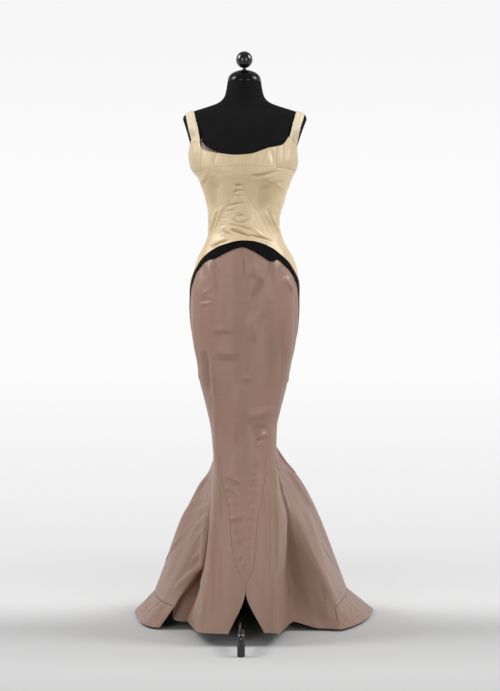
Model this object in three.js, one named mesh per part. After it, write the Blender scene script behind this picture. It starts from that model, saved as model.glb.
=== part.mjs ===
// Evening gown on a limbless dress form with a three-legged stand.
// Millimetres, +Z up. The front of the gown looks along -Y and +X is the viewer's right.
// Angles run round the body: 0 at the centre front, 90 at the right side, 180 at the centre back.
import * as THREE from "three";

// ---------------------------------------------------------------- driving sizes

const SATIN = 2;              // wall of the cream satin bodice
const VELVET = 2;             // wall of the velvet band
const FAILLE = 2;             // wall of the ribbed silk skirt
const LINING = 1.5;           // wall of the lining strip behind the neckline
const LINING_GAP = 0.9;       // from the bodice in to the lining strip
const SEAM = 0.4;             // gap that parts two cloth pieces at a seam
const SEAT = 0.3;             // gap between hard pieces, and under the straps
const BODY_ROUND = 0.94;      // exponent of the body's sections, 1 is an ellipse
const FORM_CLEARANCE = 6.5;   // from the gown's outer face in to the dress form
const POLE_RADIUS = 11;
const LEG_RADIUS = 10;
const FOOT = { radius: 11, height: 40, reach: 300 };
const HUB = { radius: 24, bottom: 150, top: 236 };
const FORM_BOTTOM = 760;
const NECK = { top: 1662, tilt: 12 };
const BALL = { radius: 25, rise: 62, stem: 4.5 };
const STAND_TURN = -1.5;      // the front leg points a little to the viewer's left

// ---------------------------------------------------------------- small tools

const radians = THREE.MathUtils.degToRad;
const point = (x, y, z) => new THREE.Vector3(x, y, z);

/** Rows of numbers become objects with the column names. */
function table(columns, rows) {
  return rows.map((row) => Object.fromEntries(columns.map((name, i) => [name, row[i]])));
}

/** Slope at the middle of three knots that never overshoots them. */
function gentleSlope(before, after) {
  return before * after <= 0 ? 0 : (2 * before * after) / (before + after);
}

function hermite(t, width, valueA, slopeA, valueB, slopeB) {
  const u = 1 - t;
  return valueA * u * u * (1 + 2 * t) + valueB * t * t * (3 - 2 * t)
    + width * (slopeA * u * u * t - slopeB * t * t * u);
}

/** A smooth curve through (at, value) pairs in rising order, straight past both ends. */
function smoothCurve(pairs) {
  const last = pairs.length - 1;
  const secant = (i) => (pairs[i + 1][1] - pairs[i][1]) / (pairs[i + 1][0] - pairs[i][0]);
  const slopes = pairs.map((_, i) => {
    if (i === 0) return secant(0);
    return i === last ? secant(last - 1) : gentleSlope(secant(i - 1), secant(i));
  });
  return (at) => {
    if (at <= pairs[0][0]) return pairs[0][1] + slopes[0] * (at - pairs[0][0]);
    if (at >= pairs[last][0]) return pairs[last][1] + slopes[last] * (at - pairs[last][0]);
    const i = pairs.findIndex(([knot]) => knot > at) - 1;
    const width = pairs[i + 1][0] - pairs[i][0];
    return hermite((at - pairs[i][0]) / width, width, pairs[i][1], slopes[i], pairs[i + 1][1], slopes[i + 1]);
  };
}

/** The curve of one column of a table over another column. */
function column(rows, over, name) {
  const pairs = rows.map((row) => [row[over], row[name]]);
  return smoothCurve(pairs.sort((a, b) => a[0] - b[0]));
}

/** The same, for a table that goes once round the body by angle. */
function roundColumn(rows, name) {
  const turns = [-360, 0, 360];
  const pairs = turns.flatMap((turn) => rows.map((row) => [row.angle + turn, row[name]]));
  return smoothCurve(pairs.sort((a, b) => a[0] - b[0]));
}

const always = (value) => () => value;
const easeIn = (t) => THREE.MathUtils.smoothstep(t, 0, 1);
const signedPower = (value, exponent) => Math.sign(value) * Math.abs(value) ** exponent;

/** The point at an angle on an oval section. */
function onSection({ left, right, front, back }, angle, z) {
  const across = Math.sin(radians(angle));
  const along = Math.cos(radians(angle));
  const wide = across < 0 ? left : right;
  const deep = along > 0 ? front : back;
  return point(wide * signedPower(across, BODY_ROUND), -deep * signedPower(along, BODY_ROUND), z);
}

// ---------------------------------------------------------------- the gown's fitted shape

// How far the gown's outer face stands from the pole's axis at each height.
const GOWN = table(["z", "left", "right", "front", "back"], [
  [1490, 165, 164, 104, 100],
  [1466, 166, 164, 108, 103],
  [1442, 169, 162, 115, 104],
  [1418, 166, 162, 122, 104],
  [1394, 158, 155, 127, 103],
  [1370, 140, 144, 125, 101],
  [1346, 130, 135, 117, 97],
  [1322, 121, 126, 109, 94],
  [1298, 115, 120, 101, 92],
  [1274, 110, 112, 95, 90],
  [1250, 109, 106, 91, 90],
  [1226, 109, 106, 89, 93],
  [1202, 109, 111, 90, 99],
  [1178, 117, 120, 94, 108],
  [1154, 127, 132, 99, 118],
  [1130, 138, 144, 103, 127],
  [1106, 146, 154, 106, 134],
  [1082, 154, 160, 108, 139],
  [1034, 162, 164, 110, 145],
  [986, 163, 164, 110, 143],
  [938, 161, 161, 109, 137],
  [866, 152, 152, 105, 126],
  [818, 142, 141, 102, 120],
  [770, 136, 132, 99, 115],
  [722, 124, 120, 96, 110],
  [674, 112, 108, 93, 105],
  [626, 101, 98, 91, 101],
  [578, 95, 96, 90, 99],
  [530, 92, 94, 90, 98],
  [0, 92, 94, 90, 98],
]);
const gownSides = ["left", "right", "front", "back"];
const gownCurves = gownSides.map((side) => column(GOWN, "z", side));

/** The fitted gown at a height, taken in by an inset. */
function gownSection(z, inset = 0) {
  return Object.fromEntries(gownSides.map((side, i) => [side, gownCurves[i](z) - inset]));
}

// Every lengthwise fold and seam of the lower skirt. Each leaves the fitted shape at the
// height "from" and then passes through its path points, listed from the top down.
const FOLDS = [
  { name: "centre front", angle: 0, from: 660,
    path: [[3, -100, 500], [4, -141, 300], [4, -165, 164], [6, -179, 38]] },
  { name: "right front", angle: 42, from: 650,
    path: [[63, -110, 400], [63, -132, 300], [62, -152, 164], [60, -163, 38]] },
  { name: "right edge", angle: 80, from: 620, sharp: true,
    path: [[97, -68, 470], [99, -104, 390], [100, -132, 260], [101, -170, 38]] },
  { name: "right strip", angle: 83, from: 560, sharp: true,
    path: [[108, -42, 440], [128, -44, 350], [126, -50, 255], [119, -58, 175], [123, -69, 36]] },
  { name: "right valley", angle: 86, from: 540,
    path: [[112, 6, 391], [122, 22, 314], [143, 36, 220], [165, 36, 115], [184, 26, 28]] },
  { name: "right wing front", angle: 90, from: 540,
    path: [[116, 6, 440], [131, 8, 391], [150, 18, 314], [171, 29, 220], [197, 44, 115], [225, 52, 40],
      [235, 50, 8]] },
  { name: "right gore seam", angle: 96, from: 560,
    path: [[116, 22, 450], [137, 34, 391], [182, 46, 290], [214, 52, 217], [243, 60, 155], [274, 64, 75],
      [292, 44, 8]] },
  { name: "right wing", angle: 105, from: 580,
    path: [[126, 62, 480], [160, 96, 400], [208, 124, 300], [250, 136, 200], [298, 140, 77]] },
  { name: "right wing side", angle: 112, from: 590,
    path: [[132, 92, 490], [178, 150, 405], [228, 215, 300], [272, 250, 190], [322, 262, 78]] },
  { name: "right contour", angle: 119, from: 600,
    path: [[121, 76, 525], [153, 130, 483], [196, 208, 413], [248, 300, 301], [290, 350, 191],
      [330, 380, 82]] },
  { name: "right back fold", angle: 134, from: 620,
    path: [[120, 160, 490], [186, 300, 330], [240, 410, 190], [292, 462, 78]] },
  { name: "right back", angle: 156, from: 640,
    path: [[62, 196, 500], [98, 370, 330], [126, 500, 190], [152, 590, 72]] },
  { name: "centre back", angle: 180, from: 660,
    path: [[0, 214, 500], [2, 396, 330], [5, 532, 190], [10, 626, 68]] },
  { name: "left back", angle: -156, from: 640,
    path: [[-60, 196, 500], [-94, 370, 330], [-116, 500, 190], [-134, 588, 72]] },
  { name: "left back fold", angle: -134, from: 610,
    path: [[-104, 140, 490], [-172, 290, 330], [-222, 392, 190], [-268, 448, 76]] },
  { name: "left contour", angle: -119, from: 560,
    path: [[-93, 62, 506], [-141, 122, 435], [-205, 216, 311], [-253, 292, 177], [-291, 341, 76]] },
  { name: "left wing", angle: -108, from: 540,
    path: [[-126, 88, 435], [-180, 146, 311], [-232, 186, 177], [-266, 184, 76]] },
  { name: "left wing front", angle: -100, from: 520,
    path: [[-112, 42, 420], [-148, 74, 311], [-186, 100, 211], [-224, 112, 120], [-238, 112, 76]] },
  { name: "left ridge", angle: -94, from: 500,
    path: [[-100, 4, 400], [-110, 14, 300], [-124, 24, 211], [-154, 42, 166], [-204, 68, 91],
      [-212, 66, 75]] },
  { name: "left valley", angle: -88, from: 500,
    path: [[-92, 6, 400], [-97, 26, 300], [-108, 46, 211], [-131, 66, 150], [-176, 80, 80],
      [-198, 80, 50]] },
  { name: "left godet", angle: -84, from: 540,
    path: [[-96, -30, 400], [-100, -30, 300], [-112, -26, 205], [-150, 0, 90], [-182, 30, 43]] },
  { name: "left edge", angle: -80, from: 600, sharp: true,
    path: [[-98, -52, 450], [-104, -84, 330], [-111, -96, 260], [-121, -92, 195], [-157, -50, 70],
      [-168, -6, 38]] },
  { name: "left corner", angle: -64, from: 630,
    path: [[-87, -96, 430], [-93, -118, 300], [-109, -136, 170], [-127, -154, 38]] },
  { name: "left front", angle: -40, from: 650,
    path: [[-60, -110, 400], [-62, -134, 300], [-64, -158, 164], [-64, -172, 38]] },
].sort((a, b) => a.angle - b.angle);

const FOLD_SETTLE = 60;       // a fold's shift is still nothing this far above its start

/** How far a fold stands off the fitted shape, as curves of x and y over the height. */
function foldShift({ angle, from, path }) {
  const shiftsAt = ([x, y, z]) => {
    const base = onSection(gownSection(z), angle, z);
    return { z, x: x - base.x, y: y - base.y };
  };
  const knots = [{ z: from + FOLD_SETTLE, x: 0, y: 0 }, { z: from, x: 0, y: 0 }, ...path.map(shiftsAt)];
  return { x: column(knots, "z", "x"), y: column(knots, "z", "y") };
}

const foldShifts = FOLDS.map(foldShift);

/** Fold number i, counted round and round, with its angle unwrapped. */
function foldAt(i, z) {
  const turns = Math.floor(i / FOLDS.length);
  const index = i - turns * FOLDS.length;
  const fold = FOLDS[index];
  const shift = foldShifts[index];
  const above = z >= fold.from + FOLD_SETTLE;
  return {
    angle: fold.angle + 360 * turns,
    sharp: fold.sharp,
    x: above ? 0 : shift.x(z),
    y: above ? 0 : shift.y(z),
  };
}

/** The skirt's shift off the fitted shape between two neighbouring folds. */
function skirtShift(angle, z) {
  const next = FOLDS.findIndex((fold) => fold.angle > angle);
  const i = (next < 0 ? FOLDS.length : next) - 1;
  const [before, here, there, after] = [i - 1, i, i + 1, i + 2].map((k) => foldAt(k, z));
  const width = there.angle - here.angle;
  const t = (angle - here.angle) / width;
  const along = (axis) => {
    const secant = (there[axis] - here[axis]) / width;
    const secantBefore = (here[axis] - before[axis]) / (here.angle - before.angle);
    const secantAfter = (after[axis] - there[axis]) / (after.angle - there.angle);
    const slopeHere = here.sharp ? secant : gentleSlope(secantBefore, secant);
    const slopeThere = there.sharp ? secant : gentleSlope(secant, secantAfter);
    return hermite(t, width, here[axis], slopeHere, there[axis], slopeThere);
  };
  return point(along("x"), along("y"), 0);
}

/** The gown's outer face, from the neckline to the skirt's lowest edge. */
function gown(angle, z) {
  const turned = THREE.MathUtils.euclideanModulo(angle + 180, 360) - 180;
  return onSection(gownSection(z), turned, z).add(skirtShift(turned, z));
}

/** The angle on the front half at which the gown has a given x. */
function angleAtX(x, z) {
  let low = -89;
  let high = 89;
  for (let step = 0; step < 30; step += 1) {
    const middle = (low + high) / 2;
    if (gown(middle, z).x < x) low = middle;
    else high = middle;
  }
  return low;
}

// ---------------------------------------------------------------- edges round the body

// The bodice's top edge: neckline, strap ends, armholes and scooped back.
const TOP_EDGE = table(["angle", "z"], [
  [-180, 1388], [-158, 1398], [-149, 1436], [-133, 1442], [-124, 1408], [-108, 1392], [-92, 1390],
  [-85, 1404], [-79, 1446], [-72, 1479], [-52, 1470], [-48, 1451], [-39, 1439], [-24, 1430],
  [-7, 1424], [5, 1427], [24, 1446], [42, 1459], [55, 1487], [62, 1487], [73, 1458], [80, 1426],
  [86, 1400], [92, 1390], [108, 1392], [124, 1408], [133, 1442], [149, 1436], [158, 1398],
]);

// The seam under the bust, where the bust band and the cups meet the bodice.
const BUST_SEAM = table(["angle", "z"], [
  [-180, 1383], [-92, 1383], [-60, 1381], [-48, 1383], [-7, 1392], [35, 1389], [70, 1386], [92, 1383],
]);

// The bodice's arched hem and the velvet band's scalloped lower edge.
const HEM = table(["angle", "bodice", "band"], [
  [-180, 862, 838], [-150, 872, 844], [-120, 895, 860], [-105, 925, 882], [-98, 962, 908], [-92, 1014, 945],
  [-86, 1060, 985], [-80, 1080, 1025], [-72, 1103, 1059], [-64, 1124, 1094], [-51, 1145, 1118],
  [-43, 1155, 1124], [-37, 1161, 1126], [-23, 1170, 1141], [-10, 1177, 1154], [-2, 1179, 1158],
  [7, 1178, 1150], [20, 1173, 1131], [28, 1167, 1118], [33, 1161, 1117], [39, 1155, 1123],
  [48, 1139, 1109], [58, 1121, 1088], [70, 1086, 1057], [78, 1072, 1022], [84, 1062, 975],
  [90, 1036, 920], [96, 968, 893], [105, 922, 874], [120, 892, 856], [150, 870, 842],
]);

// The seams that part the front panels and run together to the notch in the hem.
const FRONT_SEAMS = table(["z", "left", "right"], [
  [582, -91, 92], [560, -80, 78], [524, -71, 64], [457, -62, 57], [403, -47, 48], [360, -41, 38],
  [303, -37, 33], [233, -24, 28], [164, 4, 4], [38, -45, 58.6],
]);

// The triangular insert in the bodice.
const INSERT = table(["z", "left", "right"], [
  [1340, -15, -11], [1309, -30, 6], [1274, -52, 28], [1242, -71, 50], [1200, -95, 74], [1172, -110, 98],
  [1131, -127, 123],
]);
const INSERT_APEX = 1340;
const INSERT_TOP = 1336;      // the insert starts just under the point where its edges meet
const INSERT_ROWS = 8;

// How far the lining strip rises over the neckline at the viewer's left.
const LINING_RISE = table(["angle", "rise"], [[-50, 20], [-42, 14], [-30, 5], [-21, 1]]);

// Height of the front hem and of the folds beside it.
const FRONT_HEM = table(["angle", "z"], [
  [-94, 75], [-88, 50], [-84, 43], [-80, 38], [-64, 38], [0, 38], [80, 38], [83, 36], [86, 28],
  [90, 8], [96, 8],
]);

// Where the gores end and the flounce starts, and the flounce's own hem.
const GORE_HEM = table(["angle", "z"], [
  [-180, 68], [-134, 76], [-94, 75], [-91, 65], [0, 60], [96, 75], [112, 78], [134, 78],
]);
const FLOUNCE_HEM = table(["angle", "x", "y", "z"], [
  [-180, 12, 722, 4], [-156, -176, 676, 4], [-134, -332, 500, 5], [-119, -356, 362, 6], [-108, -335, 211, 7],
  [-103, -314, 128, 8], [-98, -281, 80, 8], [-94, -258, 72, 8], [-91, -236, 86, 14], [96, 292, 44, 8],
  [100, 316, 68, 8], [105, 350, 124, 8], [112, 391, 229, 8], [119, 418, 384, 7], [134, 360, 540, 5],
  [156, 200, 684, 4],
]);

const topEdge = roundColumn(TOP_EDGE, "z");
const bustSeam = roundColumn(BUST_SEAM, "z");
const bodiceHem = roundColumn(HEM, "bodice");
const bandEdge = roundColumn(HEM, "band");
const frontHem = column(FRONT_HEM, "angle", "z");
const goreHem = roundColumn(GORE_HEM, "z");
const flounceHem = ["x", "y", "z"].map((axis) => roundColumn(FLOUNCE_HEM, axis));
const liningRise = column(LINING_RISE, "angle", "rise");

const CENTRE_FRONT_X = -13;   // the bodice's centre seam sits left of the pole's axis
const CUP_SEAM_X = { left: -126, right: 93 };
const SIDE_SEAM = 92;
const PANEL_EDGE = 80;        // angle of the front panel's folded edges
const RIGHT_GORE_SEAM = 96;
const LEFT_RIDGE = -94;
const BACK_SEAM = 134;
const NOTCH_TOP = 164;
const NOTCH_X = 4;
const RIGHT_VALLEY = 86;
const KNEE = 582;             // above this the front panel reaches the side seams
const NOTCH_ROW = 184;        // the centre panel's point ends just over the notch
const HIP_ROWS = 8;           // rows of the skirt from the velvet band to the knee
const KNEE_ROWS = 8;          // and from the knee to the notch
const HEM_ROWS = 4;           // and from the notch to the hem
const INSERT_CORNERS = { left: -61, right: 57 };   // where the insert's edges meet the hem

// Angles at which pieces above and below a seam share their columns.
const COLUMNS = [
  -168, -156, -145, -134, -122, -112, -104, -98, -92, -86, -80, -74, -68, INSERT_CORNERS.left, -53,
  -44, -37, -24, -12, -2, 8, 18, 26, 33, 40, 48, INSERT_CORNERS.right, 65, 73, 80, 86, 92, 98, 104, 112,
  122, 134, 145, 156, 168, 180,
];
const FLOUNCE_ROWS = 2;
const ANKLE = 75;             // where the right godet's folds bend for the last time
const SIDE_OPENS = { from: 560, over: 90 };   // where the side folds start to part

/** A point on the flounce: 0 at its seam, 1 at its hem. */
function flounce(angle, down) {
  const seam = gown(angle, goreHem(angle));
  const hem = point(...flounceHem.map((curve) => curve(angle)));
  return seam.lerp(hem, down);
}

/** The gores and the flounce as one face; "below" is in mm past the seam between them. */
function goresAndFlounce(angle, below) {
  if (below <= 0) return gown(angle, goreHem(angle) - below);
  const run = flounce(angle, 1).distanceTo(flounce(angle, 0));
  return flounce(angle, below / run);
}

// ---------------------------------------------------------------- the form's shape

// The form above the underarm: shoulders, arm plates and neck. Below that it follows the gown.
const SHOULDERS = table(["z", "left", "right", "front", "back"], [
  [1346, 124, 129, 111, 91],
  [1370, 133, 136, 116, 95],
  [1394, 143, 143, 118, 97],
  [1418, 148, 147, 113, 98],
  [1442, 154, 152, 107, 98],
  [1466, 161, 159, 100, 97],
  [1500, 170, 170, 90, 94],
  [1530, 179, 181, 78, 89],
  [1548, 184, 187, 70, 84],
  [1556, 181, 184, 66, 80],
  [1562, 170, 172, 62, 76],
  [1570, 150, 151, 58, 72],
  [1582, 112, 112, 54, 66],
  [1592, 84, 84, 52, 62],
  [1602, 69, 69, 50, 58],
  [1616, 59, 59, 50, 54],
  [1640, 53, 53, 49, 51],
]);
const shoulderCurves = gownSides.map((side) => column(SHOULDERS, "z", side));
const UNDERARM = 1346;

function formSection(z) {
  if (z < UNDERARM) return gownSection(z, FORM_CLEARANCE);
  return Object.fromEntries(gownSides.map((side, i) => [side, shoulderCurves[i](z)]));
}

/** Whether a point above the underarm lies inside the dress form. */
function insideForm({ x, y, z }) {
  const section = formSection(z);
  const wide = x < 0 ? section.left : section.right;
  const deep = y < 0 ? section.front : section.back;
  const power = 2 / BODY_ROUND;
  return wide > 0 && (Math.abs(x) / wide) ** power + (Math.abs(y) / deep) ** power < 1;
}

const SHOULDER_AXIS = { y: 5, z: 1500 };   // the straps turn over the shoulders about this line

/** The point at a distance from the shoulder axis: 0 looks to the front, 90 up, 180 to the back. */
function overShoulder(x, turn, distance) {
  const along = -Math.cos(radians(turn)) * distance;
  return point(x, SHOULDER_AXIS.y + along, SHOULDER_AXIS.z + Math.sin(radians(turn)) * distance);
}

/** How far the form reaches from the shoulder axis. */
function shoulderReach(x, turn) {
  let low = 0;
  let high = 160;
  for (let step = 0; step < 24; step += 1) {
    const middle = (low + high) / 2;
    if (insideForm(overShoulder(x, turn, middle))) low = middle;
    else high = middle;
  }
  return low;
}

// ---------------------------------------------------------------- walls of cloth

/** The outward direction of a face at (angle, down), half way between the two sides of a fold. */
function outward(face, angle, down) {
  const turn = 1.5;
  const step = 1;
  const here = face(angle, down);
  const after = face(angle + turn, down).sub(here).normalize();
  const before = here.sub(face(angle - turn, down)).normalize();
  const up = face(angle, down - step).sub(face(angle, down + step));
  return after.add(before).cross(up).normalize();
}

/**
 * A closed wall between a grid of outer points and the grid of inner points behind it. Both
 * faces of the wall, and the rims of neighbours, are cut along the same diagonals.
 */
function wallGeometry(outer, inner) {
  const rows = outer.length;
  const columns = outer[0].length;
  const points = [...outer.flat(), ...inner.flat()];
  const front = (r, c) => r * columns + c;
  const back = (r, c) => rows * columns + front(r, c);
  const faces = [];
  const quad = (a, b, c, d) => faces.push(a, b, c, a, c, d);
  for (let r = 0; r < rows - 1; r += 1) {
    for (let c = 0; c < columns - 1; c += 1) {
      quad(front(r + 1, c), front(r + 1, c + 1), front(r, c + 1), front(r, c));
      quad(back(r + 1, c), back(r, c), back(r, c + 1), back(r + 1, c + 1));
    }
    quad(front(r + 1, 0), front(r, 0), back(r, 0), back(r + 1, 0));
    const end = columns - 1;
    quad(front(r + 1, end), back(r + 1, end), back(r, end), front(r, end));
  }
  for (let c = 0; c < columns - 1; c += 1) {
    quad(front(0, c), front(0, c + 1), back(0, c + 1), back(0, c));
    quad(front(rows - 1, c), back(rows - 1, c), back(rows - 1, c + 1), front(rows - 1, c + 1));
  }
  const geometry = new THREE.BufferGeometry().setFromPoints(points);
  geometry.setIndex(faces);
  geometry.computeVertexNormals();
  return geometry;
}

const STEEPEST_SLANT = 0.15;  // limits how far a rim that leans is drawn in

/** Draws a grid's rim in by half a seam, and takes the inner points with it. */
function trimSeams(outer, inner) {
  const rows = outer.length - 1;
  const columns = outer[0].length - 1;
  const at = (r, c) => outer[Math.min(Math.max(r, 0), rows)][Math.min(Math.max(c, 0), columns)].clone();
  const pull = (r, c, inward, rim) => {
    const slant = inward.normalize().clone().cross(rim.normalize()).length();
    return { r, c, move: inward.setLength(SEAM / 2 / Math.max(slant, STEEPEST_SLANT)) };
  };
  const pulls = [];
  for (let r = 0; r <= rows; r += 1) {
    const rim = (c) => at(r + 1, c).sub(at(r - 1, c));
    pulls.push(pull(r, 0, at(r, 1).sub(at(r, 0)), rim(0)));
    pulls.push(pull(r, columns, at(r, columns - 1).sub(at(r, columns)), rim(columns)));
  }
  for (let c = 0; c <= columns; c += 1) {
    const rim = (r) => at(r, c + 1).sub(at(r, c - 1));
    pulls.push(pull(0, c, at(1, c).sub(at(0, c)), rim(0)));
    pulls.push(pull(rows, c, at(rows - 1, c).sub(at(rows, c)), rim(rows)));
  }
  pulls.forEach(({ r, c, move }) => {
    outer[r][c].add(move);
    inner[r][c].add(move);
  });
}

/**
 * A panel of the gown between two side lines (angles, by height). "lines" are its top edge,
 * the lines that it shares with its neighbours and its lower edge (heights, by angle), with
 * "steps" rows between each two, and "shares" are its columns, from 0 at one side to 1.
 */
function panel({ from, to, lines, steps, shares, thickness, inset = 0 }) {
  const face = (angle, down) => gown(angle, -down);
  const rows = steps.flatMap((count, i) => Array.from({ length: count }, (_, k) => i + k / count));
  rows.push(steps.length);
  const places = rows.map((row) => shares.map((share) => place(row, share, { from, to, lines })));
  const moved = (depth) => ({ angle, z }) =>
    gown(angle, z).addScaledVector(outward(face, angle, -z), -depth);
  const outer = places.map((row) => row.map(moved(inset)));
  const inner = places.map((row) => row.map(moved(inset + thickness)));
  trimSeams(outer, inner);
  return wallGeometry(outer, inner);
}

/** The height of a row at an angle: whole numbers are the lines, fractions lie between them. */
function rowHeight(lines, row, angle) {
  const above = Math.min(Math.floor(row), lines.length - 2);
  return THREE.MathUtils.lerp(lines[above](angle), lines[above + 1](angle), row - above);
}

/** The angle at which a row meets a leaning side line. */
function sideAngle(side, lines, row) {
  let angle = 0;
  for (let turn = 0; turn < 14; turn += 1) angle = side(rowHeight(lines, row, angle));
  return angle;
}

/** The angle and height at a row and a share across a panel whose sides lean. */
function place(row, share, { from, to, lines }) {
  const angle = THREE.MathUtils.lerp(sideAngle(from, lines, row), sideAngle(to, lines, row), share);
  return { angle, z: rowHeight(lines, row, angle) };
}

/** Equal columns. */
const evenShares = (count) => Array.from({ length: count + 1 }, (_, i) => i / count);

/** Columns at the given angles, for a piece that spans from the first one to the last. */
const sharesOf = (angles) => angles.map((angle) => (angle - angles[0]) / (angles.at(-1) - angles[0]));

/** Columns at the angles that all the pieces share, for a piece that spans from one to another. */
function sharedColumns(from, to) {
  const twoTurns = [...COLUMNS, ...COLUMNS.map((angle) => angle + 360)];
  const inside = twoTurns.filter((angle) => angle > from && angle < to);
  return sharesOf([from, ...inside, to]);
}

/** A stretch of flounce from its seam to its hem. */
function flouncePiece(from, to, shares) {
  const places = Array.from({ length: FLOUNCE_ROWS + 1 }, (_, r) => shares.map((share) => {
    const angle = THREE.MathUtils.lerp(from, to, share);
    const run = flounce(angle, 1).distanceTo(flounce(angle, 0));
    return { angle, down: (run * r) / FLOUNCE_ROWS };
  }));
  const outer = places.map((row) => row.map(({ angle, down }) => goresAndFlounce(angle, down)));
  const inner = places.map((row) => row.map(({ angle, down }) =>
    goresAndFlounce(angle, down).addScaledVector(outward(goresAndFlounce, angle, down), -FAILLE)));
  trimSeams(outer, inner);
  return wallGeometry(outer, inner);
}

// ---------------------------------------------------------------- materials

const finish = (color, roughness, metalness = 0) =>
  new THREE.MeshStandardMaterial({ color, roughness, metalness });
const satin = finish(0xd8c4a0, 0.42);
const velvet = finish(0x101215, 0.95);
const faille = finish(0x8f7264, 0.5);
const lining = finish(0x775d5b, 0.7);
const formCloth = finish(0x1c1c1d, 0.9);
const glossBlack = finish(0x0e0e0f, 0.18);
const satinNeck = finish(0x111110, 0.3);

const model = new THREE.Group();

function add(name, geometry, material, parent = model) {
  const mesh = new THREE.Mesh(geometry, material);
  mesh.name = name;
  parent.add(mesh);
  return mesh;
}

// ---------------------------------------------------------------- bodice

const centreFront = (z) => angleAtX(CENTRE_FRONT_X, z);
const cupSeam = { left: (z) => angleAtX(CUP_SEAM_X.left, z), right: (z) => angleAtX(CUP_SEAM_X.right, z) };
const insertLeftX = column(INSERT, "z", "left");
const insertRightX = column(INSERT, "z", "right");
const insertApex = always(INSERT_APEX);
const insertTop = always(INSERT_TOP);
const insertX = (curve, z) => (z > INSERT_TOP + 1 ? CENTRE_FRONT_X : curve(z));
const insertLeft = (z) => Math.max(INSERT_CORNERS.left, angleAtX(insertX(insertLeftX, z), z));
const insertRight = (z) => Math.min(INSERT_CORNERS.right, angleAtX(insertX(insertRightX, z), z));
const bustSeamAbove = (angle) => bustSeam(angle) + SEAM;

function satinPanel(name, from, to, lines, steps, shares) {
  add(name, panel({ from, to, lines, steps, shares, thickness: SATIN }), satin);
}

// Angles of the cups' columns at the top edge, where the straps rise from it.
const CUP_COLUMNS = {
  left: [-SIDE_SEAM, -85, -79, -72, -62, -52, -48],
  right: [36, 46, 55, 62, 73, 80, 86, SIDE_SEAM],
};
const bustLines = [topEdge, bustSeamAbove];
satinPanel("bust_band_left", cupSeam.left, centreFront, bustLines, [3], evenShares(7));
satinPanel("bust_band_right", centreFront, cupSeam.right, bustLines, [3], evenShares(7));
satinPanel("cup_side_left", always(-SIDE_SEAM), cupSeam.left, bustLines, [3], sharesOf(CUP_COLUMNS.left));
satinPanel("cup_side_right", cupSeam.right, always(SIDE_SEAM), bustLines, [3], sharesOf(CUP_COLUMNS.right));

const bodiceLines = [bustSeam, insertApex, insertTop, bodiceHem];
const bodiceSteps = [2, 1, INSERT_ROWS];
const leftShares = sharedColumns(-SIDE_SEAM, INSERT_CORNERS.left);
const rightShares = sharedColumns(INSERT_CORNERS.right, SIDE_SEAM);
const insertShares = sharedColumns(INSERT_CORNERS.left, INSERT_CORNERS.right);
satinPanel("bodice_front_left", always(-SIDE_SEAM), insertLeft, bodiceLines, bodiceSteps, leftShares);
satinPanel("bodice_front_right", insertRight, always(SIDE_SEAM), bodiceLines, bodiceSteps, rightShares);
satinPanel("bodice_insert", insertLeft, insertRight, [insertTop, bodiceHem], [INSERT_ROWS], insertShares);

const backLines = [topEdge, bustSeam, insertApex, bodiceHem];
const backSteps = [2, 2, 9];
const backLeftSpan = sharedColumns(-180, -SIDE_SEAM);
const backRightSpan = sharedColumns(SIDE_SEAM, 180);
satinPanel("bodice_back_left", always(-180), always(-SIDE_SEAM), backLines, backSteps, backLeftSpan);
satinPanel("bodice_back_right", always(SIDE_SEAM), always(180), backLines, backSteps, backRightSpan);

// The straps' middle lines from front to back. "lift" is how far they stand off the form,
// beside the seat that they have on it at the shoulder.
const STRAPS = {
  left: { front: [-72, -62, -52], back: [-133, -141, -149], line: table(["turn", "x", "lift", "width"], [
    [0, -149, 8, 29], [20, -154, 4.5, 27], [45, -160, 1.8, 25], [70, -164, 0.8, 23], [92, -166, 0.7, 22],
    [115, -164, 0.8, 22], [142, -154, 3, 24], [165, -137, 5, 27], [182, -122, 6, 29],
  ]) },
  right: { front: [73, 62, 55], back: [133, 141, 149], line: table(["turn", "x", "lift", "width"], [
    [0, 151, 8, 25], [20, 156, 4.5, 25], [45, 164, 1.8, 25], [70, 170, 1.4, 24], [92, 173, 1.3, 23],
    [115, 169, 1.1, 23], [142, 157, 3, 24], [165, 138, 5, 27], [182, 122, 6, 29],
  ]) },
};
const STRAP_ROWS = 15;
const STRAP_SHARES = [-0.5, 0, 0.5];
const SHOULDER_SLOPE = 0.45;  // the straps lie down towards the shoulder tips by this much
const STRAP_JOIN = 0.8;       // the strap's ends stand this far over the bodice's top edge

/** One row of a strap's outer points, from its outer edge to its inner edge. */
function strapRow(side, curves, turn) {
  const [x, lift, width] = curves.map((curve) => curve(turn));
  const inwards = side === "left" ? 1 : -1;
  const rise = Math.sin(radians(turn));
  const spots = STRAP_SHARES.map((share) => ({
    x: x + inwards * share * width,
    up: share * width * SHOULDER_SLOPE * rise,
  }));
  const reach = Math.max(...spots.map((spot) => shoulderReach(spot.x, turn) - spot.up * rise));
  return spots.map((spot) => overShoulder(spot.x, turn, reach + SATIN + lift).add(point(0, 0, spot.up)));
}

const strapEnd = (angles) => angles.map((angle) => gown(angle, topEdge(angle) + STRAP_JOIN));

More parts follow.
